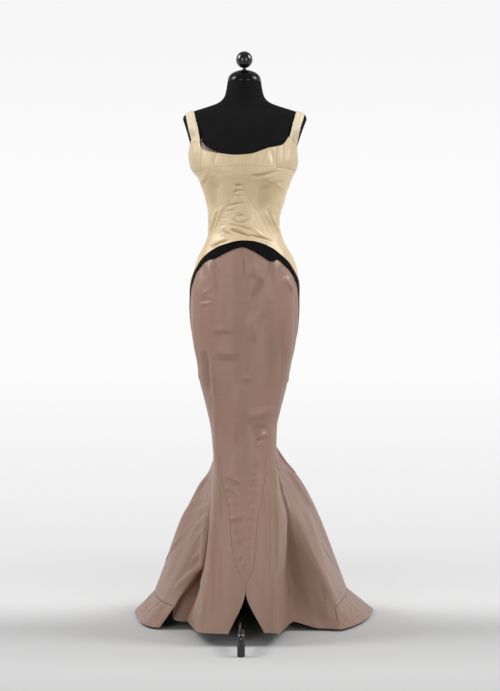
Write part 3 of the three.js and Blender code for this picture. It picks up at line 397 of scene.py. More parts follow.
# Creases pressed into or raised on the cloth, by the side they are seen from: half width,
# height, lean (one flank steeper than the other), and points (across, z) on that side.
BODICE_CREASES = {
    "front": [
        (2.42, -0.45, 0, [(-60, 1427), (-60, 1393)]), (2.42, -0.4, 0, [(-38, 1424), (-38, 1392)]),
        (2.64, -0.4, 0.6, [(5, 1423), (4, 1393)]), (2.42, -0.45, 0, [(17, 1425), (16, 1393)]),
        (2.64, -0.45, -0.6, [(37, 1430), (36, 1392)]), (3.52, 0.75, 0.8, [(73, 1440), (53, 1396)]),
        (6.6, -0.9, 0, [(-82, 1431), (-91, 1390)]), (7.7, -1.1, 0, [(81, 1440), (87, 1396)]),
        (2.86, -0.65, 0, [(-144, 1473), (-141, 1392)]), (3.3, 0.7, 0, [(-132, 1468), (-130, 1394)]),
        (2.2, -0.45, 0.5, [(-122, 1455), (-119, 1392)]), (2.64, -0.6, 0, [(114, 1470), (112, 1398)]),
        (2.86, 0.65, 0, [(122, 1473), (118, 1401)]), (2.64, -0.6, 0, [(130, 1480), (126, 1399)]),
        (2.86, 0.6, 0, [(138, 1481), (133, 1403)]), (2.64, -0.5, 0, [(147, 1477), (140, 1398)]),
        (3.96, -2.6, 0.9, [(17, 1360), (52, 1364), (101, 1380)]), (3.52, 1.69, 0, [(29, 1351), (93, 1366)]),
        (7, -1.8, 0.5, [(43, 1324), (82, 1336), (114, 1353)]),
        (3.85, -0.45, 0, [(-112, 1379), (-65, 1370), (-24, 1373)]),
        (12, -2.2, 0, [(-116, 1367), (-92, 1343), (-65, 1330)]),
        (26, -4, 0, [(-119, 1357), (-104, 1311), (-89, 1263)]),
        (26, -4, 0, [(81, 1347), (61, 1304), (43, 1255)]), (2.992, -2.6, 0.9, [(-28, 1335), (-2, 1337)]),
        (2.992, -2.21, 0.9, [(-33, 1315), (-18, 1321), (5, 1320)]),
        (2.288, -1.33, 0.9, [(-34, 1305), (7, 1308)]),
        (3.168, -2.1, 0.9, [(-49, 1276), (-24, 1283), (16, 1289)]),
        (2.64, -1.44, 0.9, [(-54, 1262), (-24, 1265)]), (5, -1.8, 0.6, [(-24, 1248), (5, 1251)]),
        (4.646, -1.36, 0.9, [(-39, 1241), (-18, 1228), (-2, 1229), (20, 1240)]),
        (3.168, -2.21, 0.9, [(-48, 1224), (-12, 1218), (32, 1204)]),
        (4.048, -3.54, 0.9, [(-42, 1209), (-12, 1198), (11, 1189), (35, 1191)]),
        (2.992, -1.99, 0.8, [(-66, 1205), (-24, 1189)]), (2.64, -1.1, 0.6, [(-68, 1241), (-48, 1243)]),
        (2.64, -1.1, 0.6, [(-74, 1219), (-51, 1224)]),
        (3.872, -3.31, 0.9, [(23, 1188), (52, 1185), (85, 1173)]),
        (3.52, -2.65, -0.9, [(-103, 1159), (-74, 1172), (-39, 1181)]),
        (5, 2, 0.8, [(-68, 1279), (-94, 1200)]), (5, 2, 0.8, [(-83, 1274), (-114, 1186)]),
        (4, -1.4, 0, [(-77, 1268), (-103, 1193)]), (4.5, 2, -0.8, [(61, 1267), (100, 1193)]),
        (4.5, 1.9, -0.8, [(82, 1257), (120, 1179)]), (4, -1.4, 0, [(72, 1262), (109, 1184)]),
        (3.52, 1.55, 0, [(17, 1219), (70, 1179)]), (2.816, 1.1, 0, [(-3, 1297), (14, 1254)]),
    ],
    "back": [
        (5, -1.5, 0.6, [(-96, 1262), (-52, 1248), (-14, 1254)]),
        (5, -1.5, 0.6, [(94, 1256), (50, 1243), (16, 1250)]),
        (6, -1.6, 0.6, [(-88, 1226), (-48, 1214), (-10, 1222)]),
        (5, -1.4, 0.6, [(86, 1218), (44, 1207), (12, 1216)]),
        (5, 1.5, 0, [(-60, 1190), (-84, 1120), (-98, 1050)]),
        (5, 1.4, 0, [(64, 1186), (88, 1116), (100, 1046)]),
        (22, -2.6, 0, [(-40, 1380), (-34, 1320), (-30, 1270)]),
        (22, -2.6, 0, [(44, 1384), (36, 1322), (30, 1272)]),
        (7, 1.6, 0.5, [(-118, 920), (-70, 905), (-20, 912)]),
        (6, 1.5, 0.5, [(120, 928), (72, 910), (26, 916)]),
    ],
    "left": [
        (5, -1.4, 0.5, [(-50, 1236), (-8, 1228), (40, 1240)]),
        (5, 1.4, 0, [(-30, 1180), (-10, 1120), (30, 1060)]),
    ],
    "right": [
        (5, -1.4, 0.5, [(-48, 1230), (-6, 1222), (42, 1236)]),
        (5, 1.4, 0, [(-26, 1176), (-6, 1112), (34, 1052)]),
    ],
}
SKIRT_CREASES = {
    "front": [
        (4.25, -1.2, 0, [(-92, 1143), (-84, 1107), (-66, 1066)]),
        (9, 2.4, 0.6, [(-113, 1114), (-95, 1072), (-83, 1013)]), (4, 1.08, -0.6, [(-18, 1142), (-9, 1109)]),
        (4.25, -1.44, 0.5, [(-6, 1130), (-1, 1095), (4, 1059)]), (12, 2.6, 0, [(23, 1112), (35, 1065)]),
        (4.25, -1.32, 0, [(79, 1122), (73, 1095), (64, 1072)]), (9, 2.2, -0.4, [(96, 1113), (87, 1054)]),
        (7, 2.2, 0, [(123, 1070), (147, 1020)]), (10, -2.2, 0, [(52, 1063), (29, 1024), (11, 995)]),
        (4.5, 0.96, 0.5, [(-127, 1014), (-95, 1040)]), (4.5, 0.96, 0.5, [(-134, 988), (-89, 993)]),
        (5, -0.84, 0, [(-130, 999), (-92, 1004)]), (12, 2.6, -0.5, [(32, 966), (29, 925), (37, 881)]),
        (8.05, 1.36, 0.36, [(-92, 911), (-59, 913), (-30, 907)]),
        (12.65, 1.86, 0.48, [(-86, 849), (-47, 840), (-9, 846)]),
        (10, -4.2, 0, [(-113, 849), (-113, 790), (-104, 724)]),
        (6.5, 4, 0, [(-104, 855), (-92, 772), (-83, 678)]),
        (6.5, 3.6, 0, [(-87, 700), (-84, 588), (-77, 440), (-72, 300)]),
        (8.05, 1.12, 0.36, [(-4, 770), (20, 773)]), (14.95, 1.74, 0.48, [(5, 649), (52, 667), (94, 680)]),
        (9, -2.2, 0, [(23, 614), (70, 627)]), (8, 2, 0.4, [(35, 599), (70, 607)]),
        (10, -1.6, 0, [(108, 943), (114, 825), (103, 706)]),
        (16, -2.2, 0, [(76, 1001), (82, 825), (70, 708)]), (14, 2, 0, [(-12, 755), (-24, 649), (-36, 561)]),
        (6.875, 1.8, 0.9, [(-53, 488), (-27, 471), (-6, 464)]),
        (6.25, 1.56, 0.9, [(-56, 454), (-36, 443), (-21, 434)]),
        (5.625, 1.32, -0.9, [(-53, 409), (-33, 414), (-12, 417)]),
        (6.875, 1.8, 0.9, [(-47, 357), (-24, 366), (2, 372)]),
        (5.625, 1.44, 0.8, [(-27, 298), (-12, 308), (2, 311)]), (5.25, 1.32, 0.8, [(-21, 250), (-3, 261)]),
        (5, 1.08, 0.6, [(-9, 230), (5, 242)]), (5, 0.96, 0.8, [(-53, 382), (-24, 386)]),
        (5, 0.96, 0.8, [(-32, 332), (-9, 335)]), (5.75, 1.56, -0.9, [(35, 573), (55, 587)]),
        (5.75, 1.44, -0.9, [(29, 518), (46, 529)]), (5.5, 1.32, -0.9, [(23, 474), (40, 486)]),
        (5.5, 1.32, -0.9, [(18, 443), (37, 454)]), (5.25, 1.2, -0.9, [(17, 394), (33, 406)]),
        (5.25, 1.08, -0.9, [(11, 349), (29, 357)]), (5.25, 0.96, -0.9, [(8, 290), (23, 301)]),
        (8, 2.2, 0, [(-113, 387), (-125, 221), (-122, 96)]),
        (7, -1.6, 0, [(-88, 358), (-93, 217), (-96, 81)]), (6.9, 0.96, 0, [(-64, 303), (-64, 134)]),
        (8, 1.8, 0, [(64, 474), (69, 302), (66, 104)]), (7, -1.4, 0, [(88, 501), (96, 302), (95, 99)]),
        (6.9, 0.84, 0, [(40, 247), (52, 99)]), (6.25, 0.5, 0, [(104, 517), (130, 488), (149, 455)]),
        (5.625, 0.6, 0, [(104, 491), (126, 457), (142, 422)]),
        (5.625, -0.3, 0, [(111, 501), (133, 467), (145, 433)]), (5.625, 1.2, 0.8, [(110, 458), (132, 424)]),
        (6.25, 1.08, 0.6, [(156, 471), (192, 409), (219, 343)]),
        (6.25, 1.44, 0.7, [(-106, 391), (-139, 371), (-165, 344)]),
        (6.25, 1.32, 0.7, [(-112, 355), (-141, 327), (-164, 293)]),
        (5.625, -0.96, 0, [(-109, 370), (-138, 346)]),
        (6.25, 1.32, 0.7, [(-116, 321), (-141, 292), (-157, 259)]),
        (6.9, 1.32, 0.6, [(-122, 263), (-147, 229), (-172, 195)]),
        (8, 2.4, 0.4, [(-140, 201), (-184, 154), (-223, 116)]), (7, -1.8, 0, [(-134, 231), (-172, 179)]),
        (14, 2.4, 0, [(-163, 390), (-215, 243), (-252, 120)]),
        (8, 2.4, 0.4, [(191, 364), (221, 268), (256, 167)]),
        (6.9, -0.96, 0, [(169, 338), (202, 242), (236, 161)]),
        (6.25, 1.2, 0.6, [(206, 316), (246, 281), (274, 226)]),
        (6.25, 1.44, 0.8, [(257, 124), (292, 118), (329, 107)]),
        (5, 1.2, 0.8, [(270, 102), (301, 98), (337, 79)]), (4.5, -1.08, 0, [(300, 114), (325, 86)]),
        (6.25, 1.32, 0, [(-273, 71), (-283, 44), (-292, 16)]),
        (5, -0.96, 0, [(-249, 75), (-262, 42), (-276, 11)]), (5, 0.96, 0, [(-311, 55), (-325, 25)]),
        (6.25, 1.08, 0, [(303, 77), (312, 48), (323, 16)]),
        (5, -0.84, 0, [(276, 75), (281, 40), (284, 14)]),
        (6.25, 1.08, 0, [(344, 64), (367, 38), (386, 21)]), (5, 0.84, 0, [(248, 94), (254, 52), (257, 17)]),
        (5, -0.84, 0, [(236, 141), (245, 79)]),
    ],
    "back": [
        (7.2, 1.1, 0.5, [(-96, 800), (-50, 786), (-8, 792)]),
        (7.2, 0.99, 0.5, [(92, 792), (54, 776), (14, 784)]),
        (8.4, 1.2, 0.5, [(-80, 700), (-40, 680), (0, 690)]),
        (7.2, 0.99, 0.5, [(84, 690), (46, 672), (8, 682)]),
        (14.4, 1.3, 0, [(-30, 560), (-60, 420), (-96, 260)]),
        (14.4, 1.2, 0, [(34, 556), (66, 410), (104, 250)]),
        (10.8, -0.99, 0, [(-90, 470), (-150, 330), (-210, 190)]),
        (10.8, -0.99, 0, [(92, 466), (154, 326), (216, 180)]),
        (6, 1.1, 0.6, [(-240, 130), (-180, 118), (-120, 122)]),
        (6, 1.1, 0.6, [(60, 112), (130, 120), (200, 126)]),
    ],
    "left": [
        (8.4, 1.1, 0.4, [(40, 520), (130, 430), (240, 330)]),
        (7.2, -0.83, 0, [(60, 470), (170, 360), (290, 250)]),
        (7.2, 0.99, 0.5, [(120, 300), (220, 220), (330, 150)]),
        (6, 0.99, 0.5, [(-40, 780), (10, 770), (60, 782)]),
    ],
    "right": [
        (8.4, 1.1, 0.4, [(60, 520), (140, 440), (250, 330)]),
        (7.2, -0.83, 0, [(80, 460), (180, 360), (300, 240)]),
        (7.2, 0.99, 0.5, [(140, 290), (230, 210), (340, 140)]),
        (6, 0.99, 0.5, [(-36, 770), (14, 760), (64, 774)]),
    ],
}
# Each side's axis across, and the sign of the normals that look to it.
VIEWS = {"front": (0, -1.0), "back": (0, 1.0), "left": (1, -1.0), "right": (1, 1.0)}
FACING_FROM, FACING_OVER = 0.02, 0.3    # how far a face has to look to a side to take its creases
BODICE_PRESS, SKIRT_PRESS = 1.5, 1.6    # how strongly each table of creases is laid in
CREASE_REACH = 3.2          # half widths from a crease's line at which it has died out
WIDEST, NARROWING = 1.25, 0.6           # a crease's width where it starts, and what it loses to its end
EARLY = 0.75                # below 1 a crease is deepest before its middle
BLUNT = 0.8                 # below 1 its ends run out less gradually
SLACK_DEPTH, SLACK_PLACE, SLACK_WIDTH = 0.4, 1.7, 1.3   # the slack hollow beside a leaning crease
NARROW_CREASE = 7           # mm of half width from which a crease is a broad hollow or swell
BROAD_PRESS = 1.6           # how much deeper the broad ones are laid in
BROAD_SHADE_PAINT = 0.28           # how much painted shade a broad hollow takes, against a sharp crease


def facing(normals, view):
    """How far each normal looks to a side, from 0 to 1."""
    axis, sign = VIEWS[view]
    return ease((sign * normals[..., 1 - axis] - FACING_FROM) / FACING_OVER)


def beside(p, path):
    """Each point's signed distance from a path, and its share of the path's length."""
    legs = np.diff(path, axis=0)
    lengths = np.maximum(np.linalg.norm(legs, axis=1), 1e-6)
    starts = np.concatenate([[0], np.cumsum(lengths)])
    best = np.full(len(p), 1e9)
    signed, share = np.zeros(len(p)), np.zeros(len(p))
    for start, leg, length, run in zip(path[:-1], legs, lengths, starts):
        t = np.clip(((p - start) @ leg) / length ** 2, 0, 1)
        away = p - (start + t[:, None] * leg)
        distance = np.linalg.norm(away, axis=1)
        closer = distance < best
        best = np.where(closer, distance, best)
        side = np.sign(leg[0] * away[:, 1] - leg[1] * away[:, 0])
        signed = np.where(closer, distance * side, signed)
        share = np.where(closer, (run + t * length) / starts[-1], share)
    return signed, share


def crease_shape(signed, share, width, lean):
    """A fold that is widest where it starts, with a slack hollow along its gentler side."""
    s = signed / (width * (WIDEST - NARROWING * share))
    taper = np.sin(math.pi * np.clip(share, 0, 1) ** EARLY) ** BLUNT
    slack = SLACK_DEPTH * np.exp(-((s + SLACK_PLACE * np.sign(lean)) / SLACK_WIDTH) ** 2) if lean else 0
    return taper, np.exp(-(s * s)) * (1 + lean * s) - slack


def crease_height(points, normals, creases, press):
    """The summed height of the creases at each point, and the share of it that is painted as shade into the
    cloth's colour.
    """
    total, crease_shade_paint = np.zeros(points.shape[:-1]), np.zeros(points.shape[:-1])
    up = points[..., 2]
    for view, rows in creases.items():
        mask = facing(normals, view)
        across = points[..., VIEWS[view][0]]
        for width, height, lean, path in rows:
            path = np.array(path, float)
            reach = CREASE_REACH * width
            near = ((across > path[:, 0].min() - reach) & (across < path[:, 0].max() + reach)
                    & (up > path[:, 1].min() - reach) & (up < path[:, 1].max() + reach) & (mask > 0))
            if not near.any():
                continue
            taper, shape = crease_shape(*beside(np.stack([across[near], up[near]], -1), path), width, lean)
            slim = width < NARROW_CREASE
            added = mask[near] * height * taper * shape * press * (1 if slim else BROAD_PRESS)
            total[near] += added
            # The share painted as shade: full for sharp creases, less for broad hollows.
            crease_shade_paint[near] += added * (1 if slim else BROAD_SHADE_PAINT)
    return total, crease_shade_paint


RIPPLES = 14                # waves in each sum
RIPPLE_LENGTHS = (0.6, 1.8)     # of the size asked for
RIPPLE_TURN = 0.5           # radians by which they cross
RIPPLE_LEAST = 0.4          # the weakest wave, against the strongest


def ripples(u, v, seed, size, stretch, height):
    """Slow unevenness of cloth: a few crossed waves, longer along the piece than across it."""
    rng = np.random.default_rng(seed)
    total = np.zeros(np.shape(u))
    for _ in range(RIPPLES):
        length = size * rng.uniform(*RIPPLE_LENGTHS)
        turn = rng.normal(0, RIPPLE_TURN)
        along = (u * math.cos(turn) + v * math.sin(turn) / stretch) / length
        total += rng.uniform(RIPPLE_LEAST, 1) * np.sin(2 * math.pi * (along + rng.uniform()))
    return total * height / RIPPLES ** 0.5


# ------------------------------------------------------------------ cloth shells

EDGE_STEPS = (0.0, 0.9, 2.2, 4.5)     # mm from a piece's edge of its first lines of points
EDGE_FADE = (1.0, 0.62, 0.2, 0.04)    # how much of an edge's roll each of them takes
FULL_STEPS = 24     # mm of length from which these steps are taken in full


def stations(length, step):
    """Distances along a line, close together beside both ends."""
    ends = np.array(EDGE_STEPS) * min(1.0, length / FULL_STEPS)
    inner = max(2, int(round((length - 2 * ends[-1]) / step)))
    middle = np.linspace(ends[-1], length - ends[-1], inner + 1)[1:-1]
    return np.concatenate([ends, middle, length - ends[::-1]])


def arc(points, axis):
    """Distance along a grid's rows (axis 1) or columns (axis 0)."""
    steps = np.linalg.norm(np.diff(points, axis=axis), axis=-1)
    pad = [(0, 0), (0, 0)]
    pad[axis] = (1, 0)
    return np.cumsum(np.pad(steps, pad), axis=axis)


def grid_normals(points):
    """Outward normals of a grid whose rows run to the right and follow each other downwards."""
    across = np.gradient(points, axis=1)
    down = np.gradient(points, axis=0)
    normal = np.cross(across, -down)
    return normal / np.maximum(np.linalg.norm(normal, axis=-1, keepdims=True), 1e-9)


def spaced(face, rows, step):
    """Lays points evenly along each row of a face. face(row share, share) gives points."""
    fine = np.linspace(0, 1, ROUGH_COLUMNS)
    r = np.repeat(rows[:, None], fine.size, 1)
    rough = face(r, np.repeat(fine[None, :], rows.size, 0))
    run = arc(rough, 1)
    template = stations(run[:, -1].max(), step)
    share = np.empty((rows.size, template.size))
    for i, length in enumerate(run[:, -1]):
        share[i] = np.interp(template * length / template[-1], run[i], fine)
    return face(np.repeat(rows[:, None], template.size, 1), share)


def panel_face(left, right, top, bottom, level=None):
    """A stretch of the gown between two side lines, as a face over (row share, share).

    With a level its rows lie flat at that height, and lean only above it."""
    def height(angle, r):
        if level is None:
            return top(angle) * (1 - r) + bottom(angle) * r
        split = (top(0) - level) / (top(0) - bottom(0))
        above = top(angle) + (level - top(angle)) * np.minimum(r / split, 1)
        return above + (bottom(angle) - level) * np.maximum((r - split) / (1 - split), 0)

    def face(r, s):
        rows = r[:, 0]
        first = side_angle(left, lambda angle: height(angle, rows), len(r))[:, None]
        last = side_angle(right, lambda angle: height(angle, rows), len(r))[:, None]
        angle = first + (last - first) * s
        return gown(angle, height(angle, r))

    return face


def flounce_face(start, end):
    """The flounces between two angles, as such a face."""
    def face(r, s):
        return flounce(start + (end - start) * s, r)
    return face


CALM = 14           # mm from its edges over which a piece's ripples settle
NARROW = 30         # a piece narrower than this rolls its edges less
LEVEL_DROP = 40     # a piece with less height than this has its weave follow its edge
ROUGH_ROWS = 40     # rows of the first rough grid, from which a piece's length is taken
ROUGH_COLUMNS = 181     # points of the fine row, from which a row's points are spaced out
AIR = 0.7           # mm that stay free between a cloth's inner face and the form, below the underarm


def edge_roll(count, first, last):
    """Offsets of a grid's lines from one edge to the other: a seam sinks, a hem stands up."""
    roll = np.zeros(count)
    fade = np.array(EDGE_FADE)
    roll[:fade.size] += first * fade
    roll[-fade.size:] += last * fade[::-1]
    return roll


def linked(name, data):
    """A new object in the scene with the given mesh, light or camera."""
    made = bpy.data.objects.new(name, data)
    bpy.context.scene.collection.objects.link(made)
    return made


def shell(name, outer, inner, uv, depth, materials):
    """A closed thin body between two grids, with its weave map and the creases' depth for their painted
    shade.
    """
    rows, columns = outer.shape[:2]
    count = rows * columns
    co = (np.concatenate([outer.reshape(-1, 3), inner.reshape(-1, 3)]) + SHIFT) / 1000
    index = np.arange(count).reshape(rows, columns)
    a, b, c, d = index[1:, :-1], index[1:, 1:], index[:-1, 1:], index[:-1, :-1]
    front = np.stack([a, b, c, d], -1).reshape(-1, 4)
    back = front[:, ::-1] + count
    loop = np.concatenate([index[0, :-1], index[:-1, -1], index[-1, :0:-1], index[:0:-1, 0]])
    following = np.roll(loop, -1)
    rims = np.stack([loop, following, following + count, loop + count], -1)
    faces = np.concatenate([front, back, rims])
    mesh = bpy.data.meshes.new(name)
    mesh.vertices.add(len(co))
    mesh.vertices.foreach_set("co", co.astype(np.float32).ravel())
    mesh.loops.add(faces.size)
    mesh.loops.foreach_set("vertex_index", faces.ravel().astype(np.int32))
    mesh.polygons.add(len(faces))
    mesh.polygons.foreach_set("loop_start", np.arange(0, faces.size, 4, dtype=np.int32))
    mesh.update(calc_edges=True)
    mesh.validate()
    mesh.polygons.foreach_set("use_smooth", np.ones(len(faces), bool))
    faces_of = np.repeat([0, 1, 0], [len(front), len(back), len(rims)])
    mesh.polygons.foreach_set("material_index", faces_of.astype(np.int32))
    pairs = np.zeros(len(mesh.edges) * 2, np.int32)
    mesh.edges.foreach_get("vertices", pairs)
    pairs = np.sort(pairs.reshape(-1, 2), axis=1)
    rim_set = {tuple(sorted(p)) for p in zip(loop, following)}
    rim_set |= {(x + count, y + count) for x, y in rim_set}
    sharp = np.array([tuple(p) in rim_set for p in pairs.tolist()])
    mesh.attributes.new("sharp_edge", "BOOLEAN", "EDGE").data.foreach_set("value", sharp)
    both = np.concatenate([uv.reshape(-1, 2), uv.reshape(-1, 2)]) / 1000
    layer = mesh.uv_layers.new(name="weave")
    layer.data.foreach_set("uv", both[faces.ravel()].astype(np.float32).ravel())
    # The creases' depth, kept for the painted shade in their hollows.
    crease_shade_depth = mesh.attributes.new("crease_shade_depth", "FLOAT", "POINT")
    crease_shade_depth.data.foreach_set("value", np.concatenate([depth.ravel(), depth.ravel()]).astype(np.float32))
    for material in materials:
        mesh.materials.append(material)
    return linked(name, mesh)


def new_piece(name, points, faces, material):
    """A new object from points in millimetres."""
    mesh = bpy.data.meshes.new(name)
    mesh.from_pydata([tuple((p + SHIFT) / 1000) for p in points], [], faces)
    mesh.materials.append(material)
    return linked(name, mesh)


def place(piece, nodes, slot):
    """Hangs a piece on the frame, in place of the plain nodes that it stands for."""
    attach(piece, "root")
    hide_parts(*nodes)
    return piece


def cloth(name, nodes, face, step, thickness, materials, slot, rolls=(0, 0, 0, 0), creases=(), wave=None):
    """Makes a piece of cloth on a face. rolls are for its top, bottom, left and right edge,
    creases a table with its press, and wave the seed, size, stretch and height of its ripples."""
    shares = np.repeat(np.array([[0.0, 0.5, 1.0]]), ROUGH_ROWS, 0)
    rough = face(np.repeat(np.linspace(0, 1, ROUGH_ROWS)[:, None], 3, 1), shares)
    longest = arc(rough, 0)[-1].max()
    rows = stations(longest, step) / longest
    base = spaced(face, rows, step)
    normal = grid_normals(base)
    across, down = arc(base, 1), arc(base, 0)
    middle = across.shape[1] // 2
    width = across[:, -1:]
    u = across - across[:, middle:middle + 1]
    v = down[:, middle:middle + 1] + np.zeros(u.shape)
    if base[0, middle, 2] - base[-1, middle, 2] > LEVEL_DROP:
        v = np.interp(-base[..., 2], -base[:, middle, 2], down[:, middle])
    height, painted_crease_shade = crease_height(base, normal, *(creases or ({}, 0)))
    if wave:
        calm = np.minimum(np.minimum(across, width - across), np.minimum(down, down[-1:] - down))
        height = height + ripples(u, v, *wave) * ease(calm / CALM)
    narrow = np.minimum(1, width / NARROW)
    roll = edge_roll(rows.size, rolls[0], rolls[1])[:, None] * narrow
    roll = roll + edge_roll(across.shape[1], rolls[2], rolls[3])[None, :] * narrow
    lift = np.maximum(height + roll, thickness + AIR - FORM_CLEARANCE)
    outer = base + normal * lift[..., None]
    piece = shell(name, outer, outer - normal * thickness, np.stack([u, -v], -1), painted_crease_shade, materials)
    place(piece, nodes, slot)
    flat = (arc(outer, 1)[:, -1].max() / 1000, arc(outer, 0)[-1].max() / 1000)
    return piece


# ------------------------------------------------------------------ materials


class Look:
    """One procedural material and short ways to wire it."""

    def __init__(self, name, color, roughness, **inputs):
        self.material = bpy.data.materials.new(name)
        self.material.use_nodes = True
        self.tree = self.material.node_tree
        self.shader = self.tree.nodes["Principled BSDF"]
        self.shader.inputs["Base Color"].default_value = (*color, 1)
        self.shader.inputs["Roughness"].default_value = roughness
        for key, value in inputs.items():
            self.shader.inputs[key.replace("_", " ")].default_value = value

    def node(self, kind, links=(), **inputs):
        made = self.tree.nodes.new(kind)
        for key, value in inputs.items():
            made.inputs[key.replace("_", " ")].default_value = value
        for key, source in dict(links).items():
            self.tree.links.new(source, made.inputs[key])
        return made

    def calculate(self, operation, a, b):
        made = self.tree.nodes.new("ShaderNodeMath")
        made.operation = operation
        for socket, value in zip(made.inputs, (a, b)):
            if isinstance(value, (int, float)):
                socket.default_value = value
            else:
                self.tree.links.new(value, socket)
        return made.outputs[0]

    def weave(self, across, along):
        """The cloth's own coordinates, in cycles per metre across and along it."""
        uv = self.tree.nodes.new("ShaderNodeUVMap")
        uv.uv_map = "weave"
        mapping = self.node("ShaderNodeMapping", {"Vector": uv.outputs["UV"]}, Scale=(across, along, 1))
        return mapping.outputs["Vector"]

    def noise(self, vector, scale=1.0, detail=2.0, rough=0.5):
        sizes = {"Scale": scale, "Detail": detail, "Roughness": rough}
        made = self.node("ShaderNodeTexNoise", {"Vector": vector}, **sizes)
        return made.outputs["Fac"]

    def ramp(self, source, low, high, out_low, out_high):
        made = self.node("ShaderNodeMapRange", {"Value": source}, From_Min=low, From_Max=high, To_Min=out_low,
                         To_Max=out_high)
        return made.outputs["Result"]

    def mix(self, factor, a, b):
        made = self.tree.nodes.new("ShaderNodeMix")
        made.data_type = "RGBA"
        self.tree.links.new(factor, made.inputs["Factor"])
        for socket, value in zip((made.inputs[6], made.inputs[7]), (a, b)):
            if isinstance(value, tuple):
                socket.default_value = (*value, 1)
            else:
                self.tree.links.new(value, socket)
        return made.outputs[2]

    def bump(self, height, distance, strength=1.0, under=None):
        links = {"Height": height}
        if under:
            links["Normal"] = under
        made = self.node("ShaderNodeBump", links, Distance=distance, Strength=strength)
        return made.outputs["Normal"]

    def use(self, socket, source):
        self.tree.links.new(source, self.shader.inputs[socket])

    def crease_shade_depth(self, deep):
        """How deep a point lies in a crease, from 0 to 1, which sets the painted shade in creases."""
        attribute = self.tree.nodes.new("ShaderNodeAttribute")
        attribute.attribute_name = "crease_shade_depth"
        return self.ramp(attribute.outputs["Fac"], 0, -deep, 0, 1)


def darker(color, share):
    return tuple(c * share for c in color)


# The second cream is the painted shade deep in the satin's creases.
CREAM, CREAM_CREASE_SHADE = (0.60, 0.465, 0.285), (0.44, 0.315, 0.17)
# Painted light: the straps' satin is a lighter copy of the cream, for the light on their upper faces.
STRAP_LIT_CREAM = (0.76, 0.64, 0.475)
TAUPE = (0.272, 0.157, 0.114)
CUP_PAINTED_SHADE, INSERT_PAINTED_LIGHT = 0.88, 1.14    # painted shade and light: the side cups' satin is painted darker than the front, the insert's lighter
SATIN_SHADE_DEPTH, FAILLE_SHADE_DEPTH = 3.5, 5.0      # mm of depth at which the painted shade in a crease is darkest


def satin_look(name, color):
    look = Look(name, color, 0.38, Sheen_Weight=0.02, Sheen_Roughness=0.5, Specular_IOR_Level=0.65)
    patches = look.noise(look.weave(1, 1), 28, 3)
    worn = look.mix(look.ramp(patches, 0.3, 0.7, 0, 1), darker(color, 0.95), darker(color, 1.03))
    # Painted shade: the cream turns browner deep in creases.
    look.use("Base Color", look.mix(look.crease_shade_depth(SATIN_SHADE_DEPTH), worn, CREAM_CREASE_SHADE))
    look.use("Roughness", look.ramp(look.noise(look.weave(140, 900)), 0.3, 0.7, 0.34, 0.43))
    threads = look.noise(look.weave(1900, 260), 1, 1)
    soft = look.noise(look.weave(1, 1), 55, 3)
    look.use("Normal", look.bump(soft, 0.0011, 0.8, look.bump(threads, 0.00009, 0.5)))
    return look.material


def faille_look():
    look = Look("taupe_faille", TAUPE, 0.44, Sheen_Weight=0.02, Sheen_Roughness=0.45, Specular_IOR_Level=0.62,
                Sheen_Tint=(0.8, 0.6, 0.5, 1))
    streaks = look.noise(look.weave(16, 520), 1, 3, 0.6)
    bands = look.noise(look.weave(5, 90), 1, 2)
    tone = look.mix(look.ramp(streaks, 0.3, 0.7, 0, 1), darker(TAUPE, 0.91), darker(TAUPE, 1.08))
    banded = look.mix(look.ramp(bands, 0.35, 0.65, 0, 1), tone, darker(TAUPE, 1.03))
    # Painted shade: the faille darkens to half its tone deep in creases.
    look.use("Base Color", look.mix(look.crease_shade_depth(FAILLE_SHADE_DEPTH), banded, darker(TAUPE, 0.5)))
    look.use("Roughness", look.ramp(streaks, 0.3, 0.7, 0.38, 0.48))
    ribs = look.node("ShaderNodeTexWave", {"Vector": look.weave(0, 1)}, Scale=230.0, Distortion=0.6)
    ribs.bands_direction = "Y"
    slub = look.bump(streaks, 0.00035, 0.7, look.bump(ribs.outputs["Fac"], 0.00012, 0.5))
    look.use("Normal", look.bump(look.noise(look.weave(1, 1), 30, 2), 0.0012, 0.6, slub))
    return look.material


def velvet_look():
    look = Look("black_velvet", (0.005, 0.0045, 0.005), 0.95, Sheen_Weight=0.03, Sheen_Roughness=0.35,
                Specular_IOR_Level=0.1)
    pile = look.noise(look.weave(1, 1), 900, 2)
    brushed = look.noise(look.weave(30, 55), 1, 3)
    look.use("Base Color", look.mix(look.ramp(brushed, 0.35, 0.65, 0, 1), (0.0035, 0.0032, 0.0036),
                                    (0.0062, 0.0056, 0.006)))
    look.use("Normal", look.bump(pile, 0.0004, 0.7))
    return look.material


def lining_look():
    look = Look("mauve_lining", (0.23, 0.145, 0.135), 0.55, Sheen_Weight=0.1)
    grain = look.noise(look.weave(700, 90), 1, 2)
    look.use("Base Color", look.mix(grain, (0.2, 0.125, 0.118), (0.26, 0.165, 0.152)))
    look.use("Normal", look.bump(grain, 0.00015, 0.5))
    return look.material


# Painted shade: the skirt's inner faces are painted near black, for the deep shade inside the skirt.
def inside_shade_look():
    look = Look("skirt_inside_painted_shade", (0.030, 0.021, 0.018), 0.7)
    grain = look.noise(look.weave(500, 60), 1, 2)
    look.use("Base Color", look.mix(grain, (0.022, 0.015, 0.013), (0.038, 0.027, 0.024)))
    return look.material


def object_noise(look, scale, detail=2.0):
    place = look.tree.nodes.new("ShaderNodeTexCoord")
    return look.noise(place.outputs["Object"], scale, detail)


